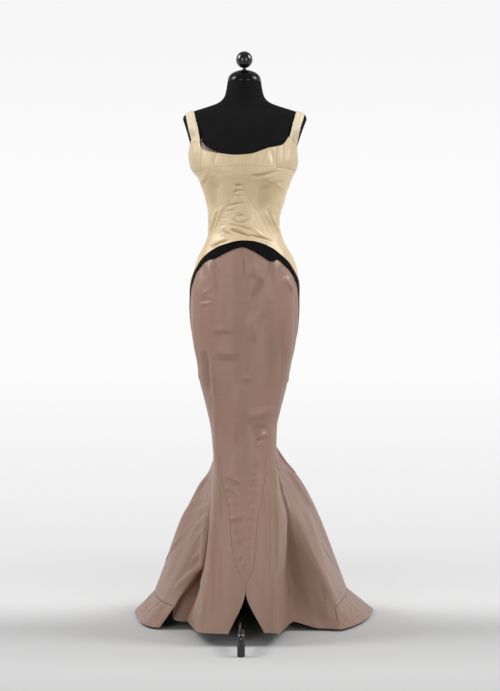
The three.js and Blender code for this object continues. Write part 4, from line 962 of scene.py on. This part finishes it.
def form_look():
    look = Look("form_cloth", (0.007, 0.007, 0.0076), 0.9, Sheen_Weight=0.003, Specular_IOR_Level=0.08)
    fine = object_noise(look, 1500, 1)
    broad = object_noise(look, 40, 3)
    look.use("Base Color", look.mix(broad, (0.0062, 0.0062, 0.007), (0.0086, 0.0086, 0.0094)))
    look.use("Normal", look.bump(broad, 0.0006, 0.5, look.bump(fine, 0.00012, 0.6)))
    return look.material


def neck_look():
    look = Look("neck_satin", (0.0025, 0.0025, 0.0027), 0.14, Specular_IOR_Level=0.22)
    look.use("Roughness", look.ramp(object_noise(look, 220), 0.3, 0.7, 0.11, 0.18))
    look.use("Normal", look.bump(object_noise(look, 45), 0.0003, 0.25))
    return look.material


def gloss_look():
    look = Look("gloss_black", (0.0035, 0.0035, 0.004), 0.1, Specular_IOR_Level=0.5, Coat_Weight=0.35,
                Coat_Roughness=0.04)
    look.use("Roughness", look.ramp(object_noise(look, 160, 4), 0.3, 0.75, 0.07, 0.15))
    look.use("Normal", look.bump(object_noise(look, 60), 0.0002, 0.25))
    return look.material


satin = satin_look("cream_satin", CREAM)
# Lit and shaded copies of the cream satin: painted light on the straps and the insert, painted shade on the
# side cups.
strap_lit_satin = satin_look("strap_lit_satin", STRAP_LIT_CREAM)
cup_shaded_satin = satin_look("cup_shaded_satin", darker(CREAM, CUP_PAINTED_SHADE))
insert_lit_satin = satin_look("insert_lit_satin", darker(CREAM, INSERT_PAINTED_LIGHT))
faille = faille_look()
velvet = velvet_look()
lining = lining_look()
# the skirt's inner faces, painted near black as shade
inside = inside_shade_look()
form_cloth = form_look()
neck_satin = neck_look()
gloss_black = gloss_look()

# ------------------------------------------------------------------ bodice

SATIN_STEP = 3.0
SATIN_WALL = 1.4
SATIN_WAVE = (26, 3.0, 0.22)
HEM_DROP = 2.6          # mm by which the bodice's hem laps over the velvet band
EDGE_UP, HEM_UP, SEAM_IN = 0.6, 2.4, -0.8       # how far the cloth's edges stand up or sink


def bodice_edge(angle):
    return bodice_hem(angle) - HEM_DROP


left_side, right_side = always(-SIDE_SEAM), always(SIDE_SEAM)
back_from, back_to = always(-180), always(180)      # the centre back, on the left and on the right
# name, node, left, right, top, bottom, how the top and the bottom edge stand, satin
BODICE = [
    ("band_left", "bust_band_left", cup_left, centre_front, top_edge, bust_seam, EDGE_UP, SEAM_IN, satin),
    ("band_right", "bust_band_right", centre_front, cup_right, top_edge, bust_seam, EDGE_UP, SEAM_IN, satin),
    ("cup_left", "cup_side_left", left_side, cup_left, top_edge, bust_seam, EDGE_UP, SEAM_IN, cup_shaded_satin),
    ("cup_right", "cup_side_right", cup_right, right_side, top_edge, bust_seam, EDGE_UP, SEAM_IN, cup_shaded_satin),
    ("front_left", "bodice_front_left", left_side, insert_left, bust_seam, bodice_edge, SEAM_IN, HEM_UP,
     satin),
    ("front_right", "bodice_front_right", insert_right, right_side, bust_seam, bodice_edge, SEAM_IN, HEM_UP,
     satin),
    ("insert", "bodice_insert", insert_left, insert_right, always(INSERT_TOP), bodice_edge, SEAM_IN, HEM_UP,
     insert_lit_satin),
    ("back_left", "bodice_back_left", back_from, left_side, top_edge, bodice_edge, EDGE_UP, HEM_UP, satin),
    ("back_right", "bodice_back_right", right_side, back_to, top_edge, bodice_edge, EDGE_UP, HEM_UP, satin),
]
for seed, (name, node, left, right, top, bottom, top_up, bottom_up, look) in enumerate(BODICE, 1):
    cloth(name, [node], panel_face(left, right, top, bottom), SATIN_STEP, SATIN_WALL, (look, look), "satin",
          rolls=(top_up, bottom_up, SEAM_IN, SEAM_IN), creases=(BODICE_CREASES, BODICE_PRESS),
          wave=(seed, *SATIN_WAVE))

LINING_INSET = 2.9
LINING_TUCK = 12            # mm by which the strip reaches down behind the bust band
LINING_START, LINING_TURN = -50, 29     # degrees


def lining_face():
    """The strip of lining that stands above the neckline, left of the centre front."""
    def face(r, s):
        angle = LINING_START + LINING_TURN * s
        top = top_edge(angle) + lining_rise(angle)
        points = gown(angle, top * (1 - r) + (top_edge(angle) - LINING_TUCK) * r)
        return points - grid_normals(points) * LINING_INSET
    return face


cloth("lining_strip", ["foundation_edge"], lining_face(), 2.2, 1.2, (lining, lining), "lining",
      wave=(10, 14, 2, 0.15))

# ------------------------------------------------------------------ straps

# The straps: angles of the front and of the back end, and the middle line from front to back as
# turn over the shoulder, x, lift, width.
STRAPS = {
    "left": ((-72, -62, -52), (-133, -141, -149), [
        (0, -149, 8, 29), (20, -154, 4.5, 27), (45, -160, 1.8, 25), (70, -164, 0.8, 23), (92, -166, 0.7, 22),
        (115, -164, 0.8, 22), (142, -154, 3, 24), (165, -137, 5, 27), (182, -122, 6, 29)]),
    "right": ((73, 62, 55), (133, 141, 149), [
        (0, 151, 8, 25), (20, 156, 4.5, 25), (45, 164, 1.8, 25), (70, 170, 1.4, 24), (92, 173, 1.3, 23),
        (115, 169, 1.1, 23), (142, 157, 3, 24), (165, 138, 5, 27), (182, 122, 6, 29)]),
}
SHOULDER_Y, SHOULDER_Z = 5, 1500
SHOULDER_SLOPE = 0.45       # rise of the shoulder for each mm towards the neck
REACH_HALVINGS = 20
FARTHEST = 160.0            # mm from that line at which the form has surely ended
STRAP_STEPS = 62
STRAP_COLUMNS = np.linspace(-0.5, 0.5, 15)
STRAP_WALL = 1.6
STRAP_LIFT = 2              # mm by which a strap's middle clears the form, before its own lift
TUCKS = ((9, 2.1), (3, 1.9), (-3, 0.9))     # below the top edge, and inwards from the gown's face
# A strap's lengthwise folds: height, place across its width, way of swaying, width.
STRAP_FOLDS = [(0.75, 0.2, 1, 0.09), (-0.65, -0.02, 1, 0.08), (0.45, -0.27, -1, 0.10)]
STRAP_CROWN = 0.7
SWAY, SWAY_LENGTH = 0.06, 31    # share of its width, mm along it
SMOOTHINGS = 3


def inside_form(x, y, z):
    left, right, front, back = form_sides(z)
    wide, deep = np.where(x < 0, left, right), np.where(y < 0, front, back)
    power = 2 / BODY_ROUND
    return (wide > 0) & ((np.abs(x) / wide) ** power + (np.abs(y) / deep) ** power < 1)


def shoulder_reach(x, turn):
    """How far the form reaches from the line that the straps turn over."""
    low, high = 0.0, FARTHEST
    along, up = math.cos(math.radians(turn)), math.sin(math.radians(turn))
    for _ in range(REACH_HALVINGS):
        middle = (low + high) / 2
        if inside_form(x, SHOULDER_Y - along * middle, SHOULDER_Z + up * middle):
            low = middle
        else:
            high = middle
    return low


def strap_grid(side):
    front, back, line = STRAPS[side]
    x_of, lift_of, width_of = [column(line, i) for i in (1, 2, 3)]
    inwards = 1 if side == "left" else -1
    rows = []
    for turn in np.linspace(0, line[-1][0], STRAP_STEPS):
        along, rise = math.cos(math.radians(turn)), math.sin(math.radians(turn))
        width = float(width_of(turn))
        offsets = [inwards * share * width for share in (-0.5, 0, 0.5)]
        ups = [share * width * SHOULDER_SLOPE * rise for share in (-0.5, 0, 0.5)]
        middle = float(x_of(turn))
        reach = max(shoulder_reach(middle + o, turn) - up * rise for o, up in zip(offsets, ups))
        away = reach + STRAP_LIFT + float(lift_of(turn))
        share = STRAP_COLUMNS
        y = np.full(share.size, SHOULDER_Y - along * away)
        z = SHOULDER_Z + rise * away + share * width * SHOULDER_SLOPE * rise
        rows.append(np.stack([middle + inwards * share * width, y, z], -1))

    def tucked(angles):
        """The strap's end, tucked behind the bodice's top edge."""
        spread = np.interp(STRAP_COLUMNS, (-0.5, 0, 0.5), angles)
        made = []
        for below, inset in TUCKS:
            ring = gown(spread, top_edge(spread) - below)
            out = ring * (1, 1, 0)
            made.append(ring - out / np.linalg.norm(out, axis=1, keepdims=True) * inset)
        return made

    grid = np.array(tucked(front) + rows + tucked(back)[::-1])
    return grid[:, ::-1] if side == "right" else grid


def strap(side):
    """A strap with soft lengthwise folds, laid on its grid once the rows are evened out."""
    grid = strap_grid(side)
    for _ in range(SMOOTHINGS):
        grid[1:-1] = (grid[:-2] + 2 * grid[1:-1] + grid[2:]) / 4
    normal = -grid_normals(grid)
    share = np.linspace(-0.5, 0.5, grid.shape[1])[None, :]
    run = arc(grid, 0)
    phase, seed = (0.4, 21) if side == "left" else (2.1, 22)
    sway = SWAY * np.sin(run / SWAY_LENGTH + phase)
    folds = np.zeros(run.shape)
    for high, at, way, width in STRAP_FOLDS:
        folds = folds + high * np.exp(-((share - at - way * sway) / width) ** 2)
    folds = folds + STRAP_CROWN * (1 - 4 * share ** 2)
    height = folds + ripples(share * 60 + 0 * run, run, seed, 30, 1, 0.12)
    outer = grid + normal * height[..., None]
    inner = outer - normal * STRAP_WALL
    across = arc(outer, 1)
    piece = shell("strap_" + side + "_cloth", outer[:, ::-1], inner[:, ::-1],
                  np.stack([across, -run], -1)[:, ::-1], height[:, ::-1] * 0, (strap_lit_satin, strap_lit_satin))
    place(piece, ["strap_" + side], "satin")
    width, length = across[:, -1].max() / 1000, arc(outer, 0)[-1].max() / 1000


for side in STRAPS:
    strap(side)

# ------------------------------------------------------------------ velvet band

VELVET_STEP, VELVET_WALL = 3.4, 1.6
VELVET_DROP = 2.4       # mm by which the band laps over the skirt


def velvet_edge(angle):
    return band_edge(angle) - VELVET_DROP


for name, node, left, right, seed in (("velvet_front", "velvet_band_front", -SIDE_SEAM, SIDE_SEAM, 31),
                                      ("velvet_back", "velvet_band_back", SIDE_SEAM, 360 - SIDE_SEAM, 32)):
    cloth(name, [node], panel_face(always(left), always(right), bodice_hem, velvet_edge), VELVET_STEP,
          VELVET_WALL, (velvet, velvet), "velvet", rolls=(-1.2, 1.9, 0, 0), wave=(seed, 30, 1.5, 0.2))

# ------------------------------------------------------------------ skirt

SKIRT_WALL = 1.5
SEAM, HEM_EDGE = -1.1, 0.4      # how far the skirt's seams sink and its hem stands up
KNEE_LEVEL = 610        # below this the front panel's rows lie flat
PANEL_START = 592       # where the front panel's seams leave the side seams
POINT_Z = 167           # the front panel's point
FOLD_START = 556        # where the godets leave the side seams
LAP = 0.8               # degrees by which pieces lap at the godets
SLIVER = 0.15           # degrees of width that a piece keeps where it runs out


def from_left_seam(z):
    return np.maximum(front_left(z), -PANEL_EDGE + SLIVER)


def to_right_seam(z):
    return np.minimum(front_right(z), PANEL_EDGE - SLIVER)


def open_left(z):
    return np.minimum(side_left(z), -PANEL_EDGE - SLIVER)


def open_right(z):
    return np.maximum(side_right(z), PANEL_EDGE + 2 * SLIVER)


def valley(z):
    return np.minimum(RIGHT_VALLEY, (PANEL_EDGE + open_right(z)) / 2)


def lapped(side, degrees):
    """A side line moved out, so that the piece laps under or over the next below the knee."""
    return lambda z: side(z) + degrees * opened(z)


front_top, fold_top, point = always(PANEL_START), always(FOLD_START), always(POINT_Z)
left_edge, right_edge = always(-PANEL_EDGE), always(PANEL_EDGE)
back_left, back_right = always(-BACK_SEAM), always(BACK_SEAM)
# name, node, left, right, top, bottom, step, how the left and the right edge stand. The front
# panel's rows lie flat below the knee, the others follow their hem.
SKIRT = [
    ("skirt_centre", "skirt_front_centre", front_left, front_right, band_edge, point, 4.1, SEAM, SEAM),
    ("skirt_left", "skirt_front_left", left_edge, from_left_seam, front_top, front_hem, 4.3, SEAM, SEAM),
    ("skirt_right", "skirt_front_right", to_right_seam, lapped(right_edge, LAP), front_top, front_hem, 4.3,
     SEAM, SEAM),
    ("godet_left_cloth", "godet_left", open_left, left_edge, fold_top, front_hem, 4.6, 0, 0),
    ("godet_right_cloth", "godet_right", right_edge, lapped(valley, LAP / 2), fold_top, front_hem, 4.3, 0,
     SEAM_IN),
    ("gore_right_cloth", "gore_right_front", valley, lapped(open_right, LAP), fold_top, front_hem, 4.3, 0, 0),
    ("side_right", "skirt_side_right", side_right, back_right, band_edge, gore_hem, 5.4, SEAM, SEAM),
    ("side_left", "skirt_side_left", back_left, side_left, band_edge, gore_hem, 5.4, SEAM, SEAM),
    ("back_right_skirt", "skirt_back_right", back_right, back_to, band_edge, gore_hem, 6.4, SEAM, SEAM),
    ("back_left_skirt", "skirt_back_left", back_from, back_left, band_edge, gore_hem, 6.4, SEAM, SEAM),
]
for seed, (name, node, left, right, top, bottom, step, left_up, right_up) in enumerate(SKIRT, 41):
    level = KNEE_LEVEL if name == "skirt_centre" else None
    cloth(name, [node], panel_face(left, right, top, bottom, level), step, SKIRT_WALL, (faille, inside),
          "faille", rolls=(SEAM, HEM_EDGE, left_up, right_up), creases=(SKIRT_CREASES, SKIRT_PRESS),
          wave=(seed, 60, 3.5, 0.8))

# name, start, end, step, what it rests on
FLOUNCES = [
    ("right", RIGHT_GORE_SEAM, BACK_SEAM, 4.8, ("side_right",)),
    ("left", -BACK_SEAM, LEFT_RIDGE, 4.8, ("side_left",)),
    ("back", BACK_SEAM, 360 - BACK_SEAM, 6.0, ("back_right_skirt", "back_left_skirt")),
]
for seed, (side, start, end, step, rests_on) in enumerate(FLOUNCES, 51):
    cloth("flounce_" + side + "_cloth", ["flounce_" + side], flounce_face(start, end), step, SKIRT_WALL,
          (faille, inside), "faille", rolls=(-1.6, 0.5, 0, 0), creases=(SKIRT_CREASES, SKIRT_PRESS),
          wave=(seed, 50, 1.0, 0.9))

# ------------------------------------------------------------------ stitches


THREAD_SIDES = 6
STITCH_PITCH = 1.7      # stitch lengths from one stitch to the next
SEAM_POINTS = 260
SEAM_SHARE = 0.004      # of a face, to the lines beside a seam and to its ends


def stitches(name, points, normals, length, radius, material):
    """Short threads laid along a line of points."""
    runs = np.concatenate([[0], np.cumsum(np.linalg.norm(np.diff(points, axis=0), axis=1))])
    places = np.arange(length, runs[-1] - length, STITCH_PITCH * length)

    def at(run, values):
        return np.stack([np.interp(run, runs, values[:, k]) for k in range(3)], -1)

    centres, ahead = at(places, points), at(places + 0.5, points) - at(places - 0.5, points)
    ahead /= np.linalg.norm(ahead, axis=1, keepdims=True)
    up = at(places, normals)
    side = np.cross(ahead, up)
    verts, faces = [], []
    for c, a, u, w in zip(centres, ahead, up, side):
        first = len(verts)
        for end in (-1, 1):
            for k in range(THREAD_SIDES):
                turn = 2 * math.pi / THREAD_SIDES * k
                ring = w * math.cos(turn) + u * math.sin(turn)
                verts.append(c + a * end * length / 2 + ring * radius)
        near = [first + k for k in range(THREAD_SIDES)]
        far = [n + THREAD_SIDES for n in near]
        faces += [tuple(near[::-1]), tuple(far)]
        faces += list(zip(near, near[1:] + near[:1], far[1:] + far[:1], far))
    piece = new_piece(name, verts, faces, material)
    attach(piece, "root")


def thread_look(name, color):
    look = Look(name, color, 0.6)
    look.use("Base Color", look.mix(object_noise(look, 700), darker(color, 0.8), darker(color, 1.15)))
    return look.material


def seam_line(face, r, offset):
    """A line of points and directions along a row of a face, a little outside it."""
    rows = np.repeat(np.array([[r - SEAM_SHARE], [r], [r + SEAM_SHARE]]), SEAM_POINTS, 1)
    grid = face(rows, np.repeat(np.linspace(SEAM_SHARE, 1 - SEAM_SHARE, SEAM_POINTS)[None, :], 3, 0))
    normal = grid_normals(grid)
    return grid[1] + normal[1] * offset, normal[1]


dark_thread = thread_look("seam_thread", (0.09, 0.05, 0.038))
black_thread = thread_look("basting_thread", (0.008, 0.007, 0.007))
for side, start, end, _, _ in FLOUNCES:
    line, out = seam_line(flounce_face(start, end), 0.03, 0.1)
    stitches("flounce_stitching_" + side, line, out, 4.0, 0.45, dark_thread)
line, out = seam_line(lining_face(), 0.14, 1.3)
stitches("lining_stitching", line, out, 8.0, 1.1, black_thread)

# ------------------------------------------------------------------ dress form

FORM_BOTTOM, FORM_TOP = 760, 1640
FORM_SIDES = 144
FINE_FROM = 1540            # above this the form's rings lie closer together
FORM_SEAMS = (-180, -128, -92, -48, 0, 48, 92, 128)    # degrees: back, princess, side and front seams
SEAM_DEPTH, SEAM_TURN = 0.008, 1.3      # share of the radius, degrees
FORM_FOOT = (0.985, 0.985, 1)           # the lowest ring is a little smaller
NECK_TOP, NECK_TILT, NECK_RADIUS = 1662, 12, 50
SHARP = 38                  # degrees between two faces from which their edge stays sharp


def solid(name, points, faces, material, nodes, slot):
    """A hard piece from points in millimetres, smooth but for its edges."""
    piece = new_piece(name, points, faces, material)
    piece.data.update()
    for polygon in piece.data.polygons:
        polygon.use_smooth = True
    piece.data.set_sharp_from_angle(angle=math.radians(SHARP))
    place(piece, nodes, slot)


def rings_solid(rings):
    """Closed faces round stacked rings; the first and the last one are closed with one face."""
    count = len(rings[0])
    faces = []
    for start in range(0, (len(rings) - 1) * count, count):
        for c in range(count):
            following = start + (c + 1) % count
            faces.append((start + c, following, following + count, start + count + c))
    faces.append(tuple(range(count))[::-1])
    faces.append(tuple((len(rings) - 1) * count + c for c in range(count)))
    return np.concatenate(rings), faces


def torso():
    """The form's body, with its seams a little deeper than the cloth beside them."""
    angles = np.linspace(-180, 180, FORM_SIDES, endpoint=False)
    fine = np.arange(FINE_FROM, FORM_TOP + 1, 3.0)
    heights = np.concatenate([np.arange(FORM_BOTTOM, FINE_FROM, 9.0), fine])
    rings = [on_section(form_sides(np.full(FORM_SIDES, z)), angles, np.full(FORM_SIDES, z)) for z in heights]
    for ring in rings:
        for seam in FORM_SEAMS:
            turn = (angles - seam + 180) % 360 - 180
            ring[:, :2] *= 1 - SEAM_DEPTH * np.exp(-(turn / SEAM_TURN) ** 2)[:, None]
    rings[0] = rings[0] * FORM_FOOT
    y = -NECK_RADIUS * np.cos(np.radians(angles))
    neck = np.stack([NECK_RADIUS * np.sin(np.radians(angles)), y,
                     NECK_TOP + y * math.tan(math.radians(NECK_TILT))], -1)
    last = rings[-1]
    rings += [last + (neck - last) * t for t in (0.35, 0.7, 1)]
    points, faces = rings_solid(rings)
    solid("form_body", points, faces, form_cloth, ["form_torso"], "form_cloth")


def turned(profile, sides):
    """Rings of a turned shape from (radius, height) pairs."""
    angles = np.linspace(0, 2 * math.pi, sides, endpoint=False)
    return [np.stack([np.cos(angles) * r, np.sin(angles) * r, np.full(sides, h)], -1) for r, h in profile]


def leaned(rings):
    """Takes rings from the neck's own frame, which leans forward, to the stand's."""
    lean = math.radians(NECK_TILT)
    matrix = np.array([[1, 0, 0], [0, math.cos(lean), math.sin(lean)], [0, -math.sin(lean), math.cos(lean)]])
    return [ring @ matrix + (0, 0, NECK_TOP) for ring in rings]


def dense(profile, count):
    """A smooth profile through the given (radius, height) pairs."""
    profile = np.array(profile, float)
    run = np.concatenate([[0], np.cumsum(np.linalg.norm(np.diff(profile, axis=0), axis=1))])
    at = np.linspace(0, run[-1], count)
    radius, height = smooth_curve(run, profile[:, 0])(at), smooth_curve(run, profile[:, 1])(at)
    return list(zip(radius, height))


CAP = [(49, 0.3), (50, 3), (48.8, 8.5), (44.5, 16), (36, 23.5), (24, 29), (12, 32), (1, 33)]
CAP_FOOT = (46, 0.3)
BALL_RADIUS, BALL_RISE, STEM = 25, 62, 4.5
COLLAR = [(STEM + 2.5, 27.4), (STEM + 2.5, 34), (STEM, 36)]


def ball_profile():
    turns = np.linspace(math.asin(STEM / BALL_RADIUS), math.pi - 0.03, 40)
    return COLLAR + [(BALL_RADIUS * math.sin(a), BALL_RISE - BALL_RADIUS * math.cos(a)) for a in turns]


torso()
points, faces = rings_solid(leaned(turned([CAP_FOOT] + dense(CAP, 30), 96)))
solid("neck_cover", points, faces, neck_satin, ["neck_cap"], "neck_satin")
points, faces = rings_solid(leaned(turned(ball_profile(), 72)))
solid("ball", points, faces, gloss_black, ["finial_ball"], "gloss_black")

# ------------------------------------------------------------------ stand

STAND_TURN = -1.5
POLE_RADIUS = 11
HUB_RADIUS, HUB_BOTTOM, HUB_TOP = 24, 150, 236
LEG_RADIUS, FOOT_RADIUS, FOOT_HEIGHT, FOOT_REACH = 10, 11, 40, 300
LEG_STEPS, LEG_SIDES = 90, 28
# The legs' middle line: how far from the pole, z.
LEG_LINE = [
    (24.3, 206), (34, 206), (60, 160), (100, 113), (150, 85), (200, 70), (250, 64), (276, 62), (292, 57),
    (300, 48), (300, 40.3),
]


def rounded(radius, bottom, top, edge):
    """The profile of a round bar with rounded ends."""
    bend = [(math.sin(a), 1 - math.cos(a)) for a in np.linspace(0.15, math.pi / 2, 5)]
    low = [(radius - edge + edge * s, bottom + edge * c) for s, c in bend]
    return low + [(r, top + bottom - h) for r, h in low[::-1]]


def spin(points, degrees):
    a = math.radians(degrees)
    return points @ np.array([[math.cos(a), math.sin(a), 0], [-math.sin(a), math.cos(a), 0], [0, 0, 1]])


def leg_rings():
    out, height = np.array(dense(LEG_LINE, LEG_STEPS)).T
    way = np.stack([np.zeros(LEG_STEPS), -out, height], -1)
    ahead = np.gradient(way, axis=0)
    ahead /= np.linalg.norm(ahead, axis=1, keepdims=True)
    side = np.array([1.0, 0, 0])
    up = np.cross(side, ahead)
    angles = np.linspace(0, 2 * math.pi, LEG_SIDES, endpoint=False)[:, None]
    return [w + LEG_RADIUS * (np.cos(angles) * side + np.sin(angles) * u) for w, u in zip(way, up)]


points, faces = rings_solid(turned(rounded(POLE_RADIUS, HUB_TOP + 0.3, FORM_BOTTOM - 0.3, 0.8), 40))
solid("pole_bar", points, faces, gloss_black, ["pole"], "gloss_black")
points, faces = rings_solid(turned(rounded(HUB_RADIUS, HUB_BOTTOM, HUB_TOP, 4), 56))
solid("hub_body", spin(points, STAND_TURN), faces, gloss_black, ["hub"], "gloss_black")
for side, angle in (("front", 0), ("right", 120), ("left", -120)):
    points, faces = rings_solid(leg_rings())
    points = spin(points, STAND_TURN + angle)
    solid("leg_" + side + "_bar", points, faces, gloss_black, ["leg_" + side], "gloss_black")
    points, faces = rings_solid(turned(rounded(FOOT_RADIUS, 0, FOOT_HEIGHT, 2.5), 40))
    points = spin(points + (0, -FOOT_REACH, 0), STAND_TURN + angle)
    solid("foot_" + side + "_cap", points, faces, gloss_black, ["foot_" + side], "gloss_black")

# ------------------------------------------------------------------ floor, light and camera


CAMERA_PLACE = (17, -4250, 868)
LENS = 73.8
# The floor's tone towards the back, with painted shade: darker at the front edge and in a band round the
# gown's foot, lighter behind it into the backdrop. Distance from the camera in metres, lightness.
FLOOR_SHADE_TONES = [(3.55, 0.56), (3.79, 0.62), (3.97, 0.545), (4.17, 0.575), (4.32, 0.55), (4.55, 0.67),
               (4.83, 0.76), (5.73, 0.807), (7.96, 0.863), (22.6, 0.94), (200, 0.96)]
FLOOR_REACH = 200.0
FLOOR_LIT = 0.98        # how bright a white floor comes out in these lights
LIT_UNTIL, GLOW_FROM = 0.75, 1.9    # metres from the pole over which the light's own shadows fade
NEAR_TONE, FAR_TONE = 5.0, 40.0     # metres from the pole over which it takes the backdrop's tone
WORLD_BACK, WORLD_EDGE, WORLD_TOP, WORLD_FRONT = 0.97, 0.92, 0.34, 0.42
EDGE_RISE, TOP_RISE = (0.08, 0.26), (0.28, 0.6)     # Z of the line of sight between which it dims
TURN_FROM, TURN_TO = -0.3, 0.7      # where the backdrop turns from its front tone to the white behind
# The lights: place, size in metres, watts. All of them aim at the gown's middle.
AIM = (0, 0, 900)
LIGHTS = {
    "rim_left": ((-2500, -300, 3100), (1.2, 1.6), 68),
    "rim_right": ((2500, -300, 3100), (1.2, 1.6), 66),
    "fill_left": ((-1900, -3800, 1500), (0.9, 1.9), 32),
    "fill_right": ((1900, -3800, 1500), (0.9, 1.9), 34),
}


def floor_look():
    """A pale floor that runs out into the light backdrop, with painted shade round the gown's foot."""
    look = Look("floor", (0.5, 0.5, 0.5), 0.8, Specular_IOR_Level=0.1)
    position = look.tree.nodes.new("ShaderNodeNewGeometry").outputs["Position"]
    parts = look.node("ShaderNodeSeparateXYZ", {"Vector": position})
    camera_y = (CAMERA_PLACE[1] + SHIFT[1]) / 1000
    away = look.calculate("SUBTRACT", parts.outputs["Y"], camera_y)
    steps = look.calculate("DIVIDE", FLOOR_SHADE_TONES[0][0], look.calculate("MAXIMUM", away, FLOOR_SHADE_TONES[0][0]))
    tones = look.tree.nodes.new("ShaderNodeValToRGB")
    tones.color_ramp.interpolation = "B_SPLINE"
    stops = tones.color_ramp.elements
    for distance, tone in FLOOR_SHADE_TONES[1:-1]:
        stops.new(FLOOR_SHADE_TONES[0][0] / distance).color = (tone, tone, tone, 1)
    for stop, tone in ((stops[0], FLOOR_SHADE_TONES[-1][1]), (stops[-1], FLOOR_SHADE_TONES[0][1])):
        stop.color = (tone, tone, tone, 1)
    look.tree.links.new(steps, tones.inputs["Fac"])
    flat = look.node("ShaderNodeCombineXYZ", {"X": parts.outputs["X"], "Y": parts.outputs["Y"]})
    reach = look.tree.nodes.new("ShaderNodeVectorMath")
    reach.operation = "LENGTH"
    look.tree.links.new(flat.outputs[0], reach.inputs[0])
    reach = reach.outputs["Value"]
    glow = look.node("ShaderNodeMapRange", {"Value": reach}, From_Min=LIT_UNTIL, From_Max=GLOW_FROM)
    glow.interpolation_type = "SMOOTHSTEP"
    toward = look.node("ShaderNodeMapRange", {"Value": look.calculate("DIVIDE", parts.outputs["Y"], reach)},
                       From_Min=TURN_FROM, From_Max=TURN_TO, To_Min=WORLD_FRONT, To_Max=WORLD_BACK)
    toward.interpolation_type = "SMOOTHSTEP"
    channels = {name: toward.outputs["Result"] for name in ("Red", "Green", "Blue")}
    outer = look.node("ShaderNodeCombineColor", channels)
    far = look.node("ShaderNodeMapRange", {"Value": reach}, From_Min=NEAR_TONE, From_Max=FAR_TONE)
    tone = look.mix(far.outputs["Result"], tones.outputs["Color"], outer.outputs["Color"])
    lit = look.ramp(glow.outputs["Result"], 0, 1, 1 / FLOOR_LIT, 0)
    shade = look.node("ShaderNodeVectorMath", {0: tone, 1: lit})
    shade.operation = "MULTIPLY"
    look.use("Base Color", shade.outputs[0])
    look.use("Specular IOR Level", look.ramp(glow.outputs["Result"], 0, 1, 0.1, 0))
    look.use("Emission Color", tone)
    look.use("Emission Strength", glow.outputs["Result"])
    return look.material


def make_floor():
    mesh = bpy.data.meshes.new("floor")
    r = FLOOR_REACH
    mesh.from_pydata([(-r, -r, 0), (r, -r, 0), (r, r, 0), (-r, r, 0)], [], [(0, 1, 2, 3)])
    mesh.materials.append(floor_look())
    floor = linked("floor", mesh)


def make_world():
    """A white backdrop behind the gown, greyer to the front and dim overhead."""
    world = bpy.data.worlds.new("studio")
    bpy.context.scene.world = world
    world.use_nodes = True
    tree = world.node_tree
    parts = tree.nodes.new("ShaderNodeSeparateXYZ")
    tree.links.new(tree.nodes.new("ShaderNodeTexCoord").outputs["Generated"], parts.inputs["Vector"])

    def fade(source, start, end, first, last):
        made = tree.nodes.new("ShaderNodeMapRange")
        made.interpolation_type = "SMOOTHSTEP"
        for name, value in (("From Min", start), ("From Max", end)):
            made.inputs[name].default_value = value
        for name, value in (("To Min", first), ("To Max", last)):
            if isinstance(value, float):
                made.inputs[name].default_value = value
            else:
                tree.links.new(value, made.inputs[name])
        tree.links.new(source, made.inputs["Value"])
        return made.outputs["Result"]

    low = fade(parts.outputs["Z"], *EDGE_RISE, WORLD_BACK, WORLD_EDGE)
    behind = fade(parts.outputs["Z"], *TOP_RISE, low, WORLD_TOP)
    around = fade(parts.outputs["Z"], *TOP_RISE, WORLD_FRONT, WORLD_TOP)
    light = fade(parts.outputs["Y"], TURN_FROM, TURN_TO, around, behind)
    tree.links.new(light, tree.nodes["Background"].inputs["Strength"])
    tree.nodes["Background"].inputs["Color"].default_value = (1, 1, 1, 1)


def scene_point(point):
    return Vector((np.array(point) + SHIFT) / 1000)


def softbox(name, place_mm, size, power):
    data = bpy.data.lights.new(name, "AREA")
    data.shape = "RECTANGLE"
    data.size, data.size_y = size
    data.energy = power
    light = linked(name, data)
    light.location = scene_point(place_mm)
    light.rotation_euler = (scene_point(AIM) - light.location).to_track_quat("-Z", "Y").to_euler()


def make_camera():
    data = bpy.data.cameras.new("camera")
    data.sensor_width = 36
    data.lens = LENS
    camera = linked("camera", data)
    camera.location = scene_point(CAMERA_PLACE)
    camera.rotation_euler = (math.pi / 2, 0, 0)
    bpy.context.scene.camera = camera


make_floor()
make_world()
for name, (place_mm, size, power) in LIGHTS.items():
    softbox(name, place_mm, size, power)
make_camera()
bpy.context.scene.view_settings.view_transform = "Standard"
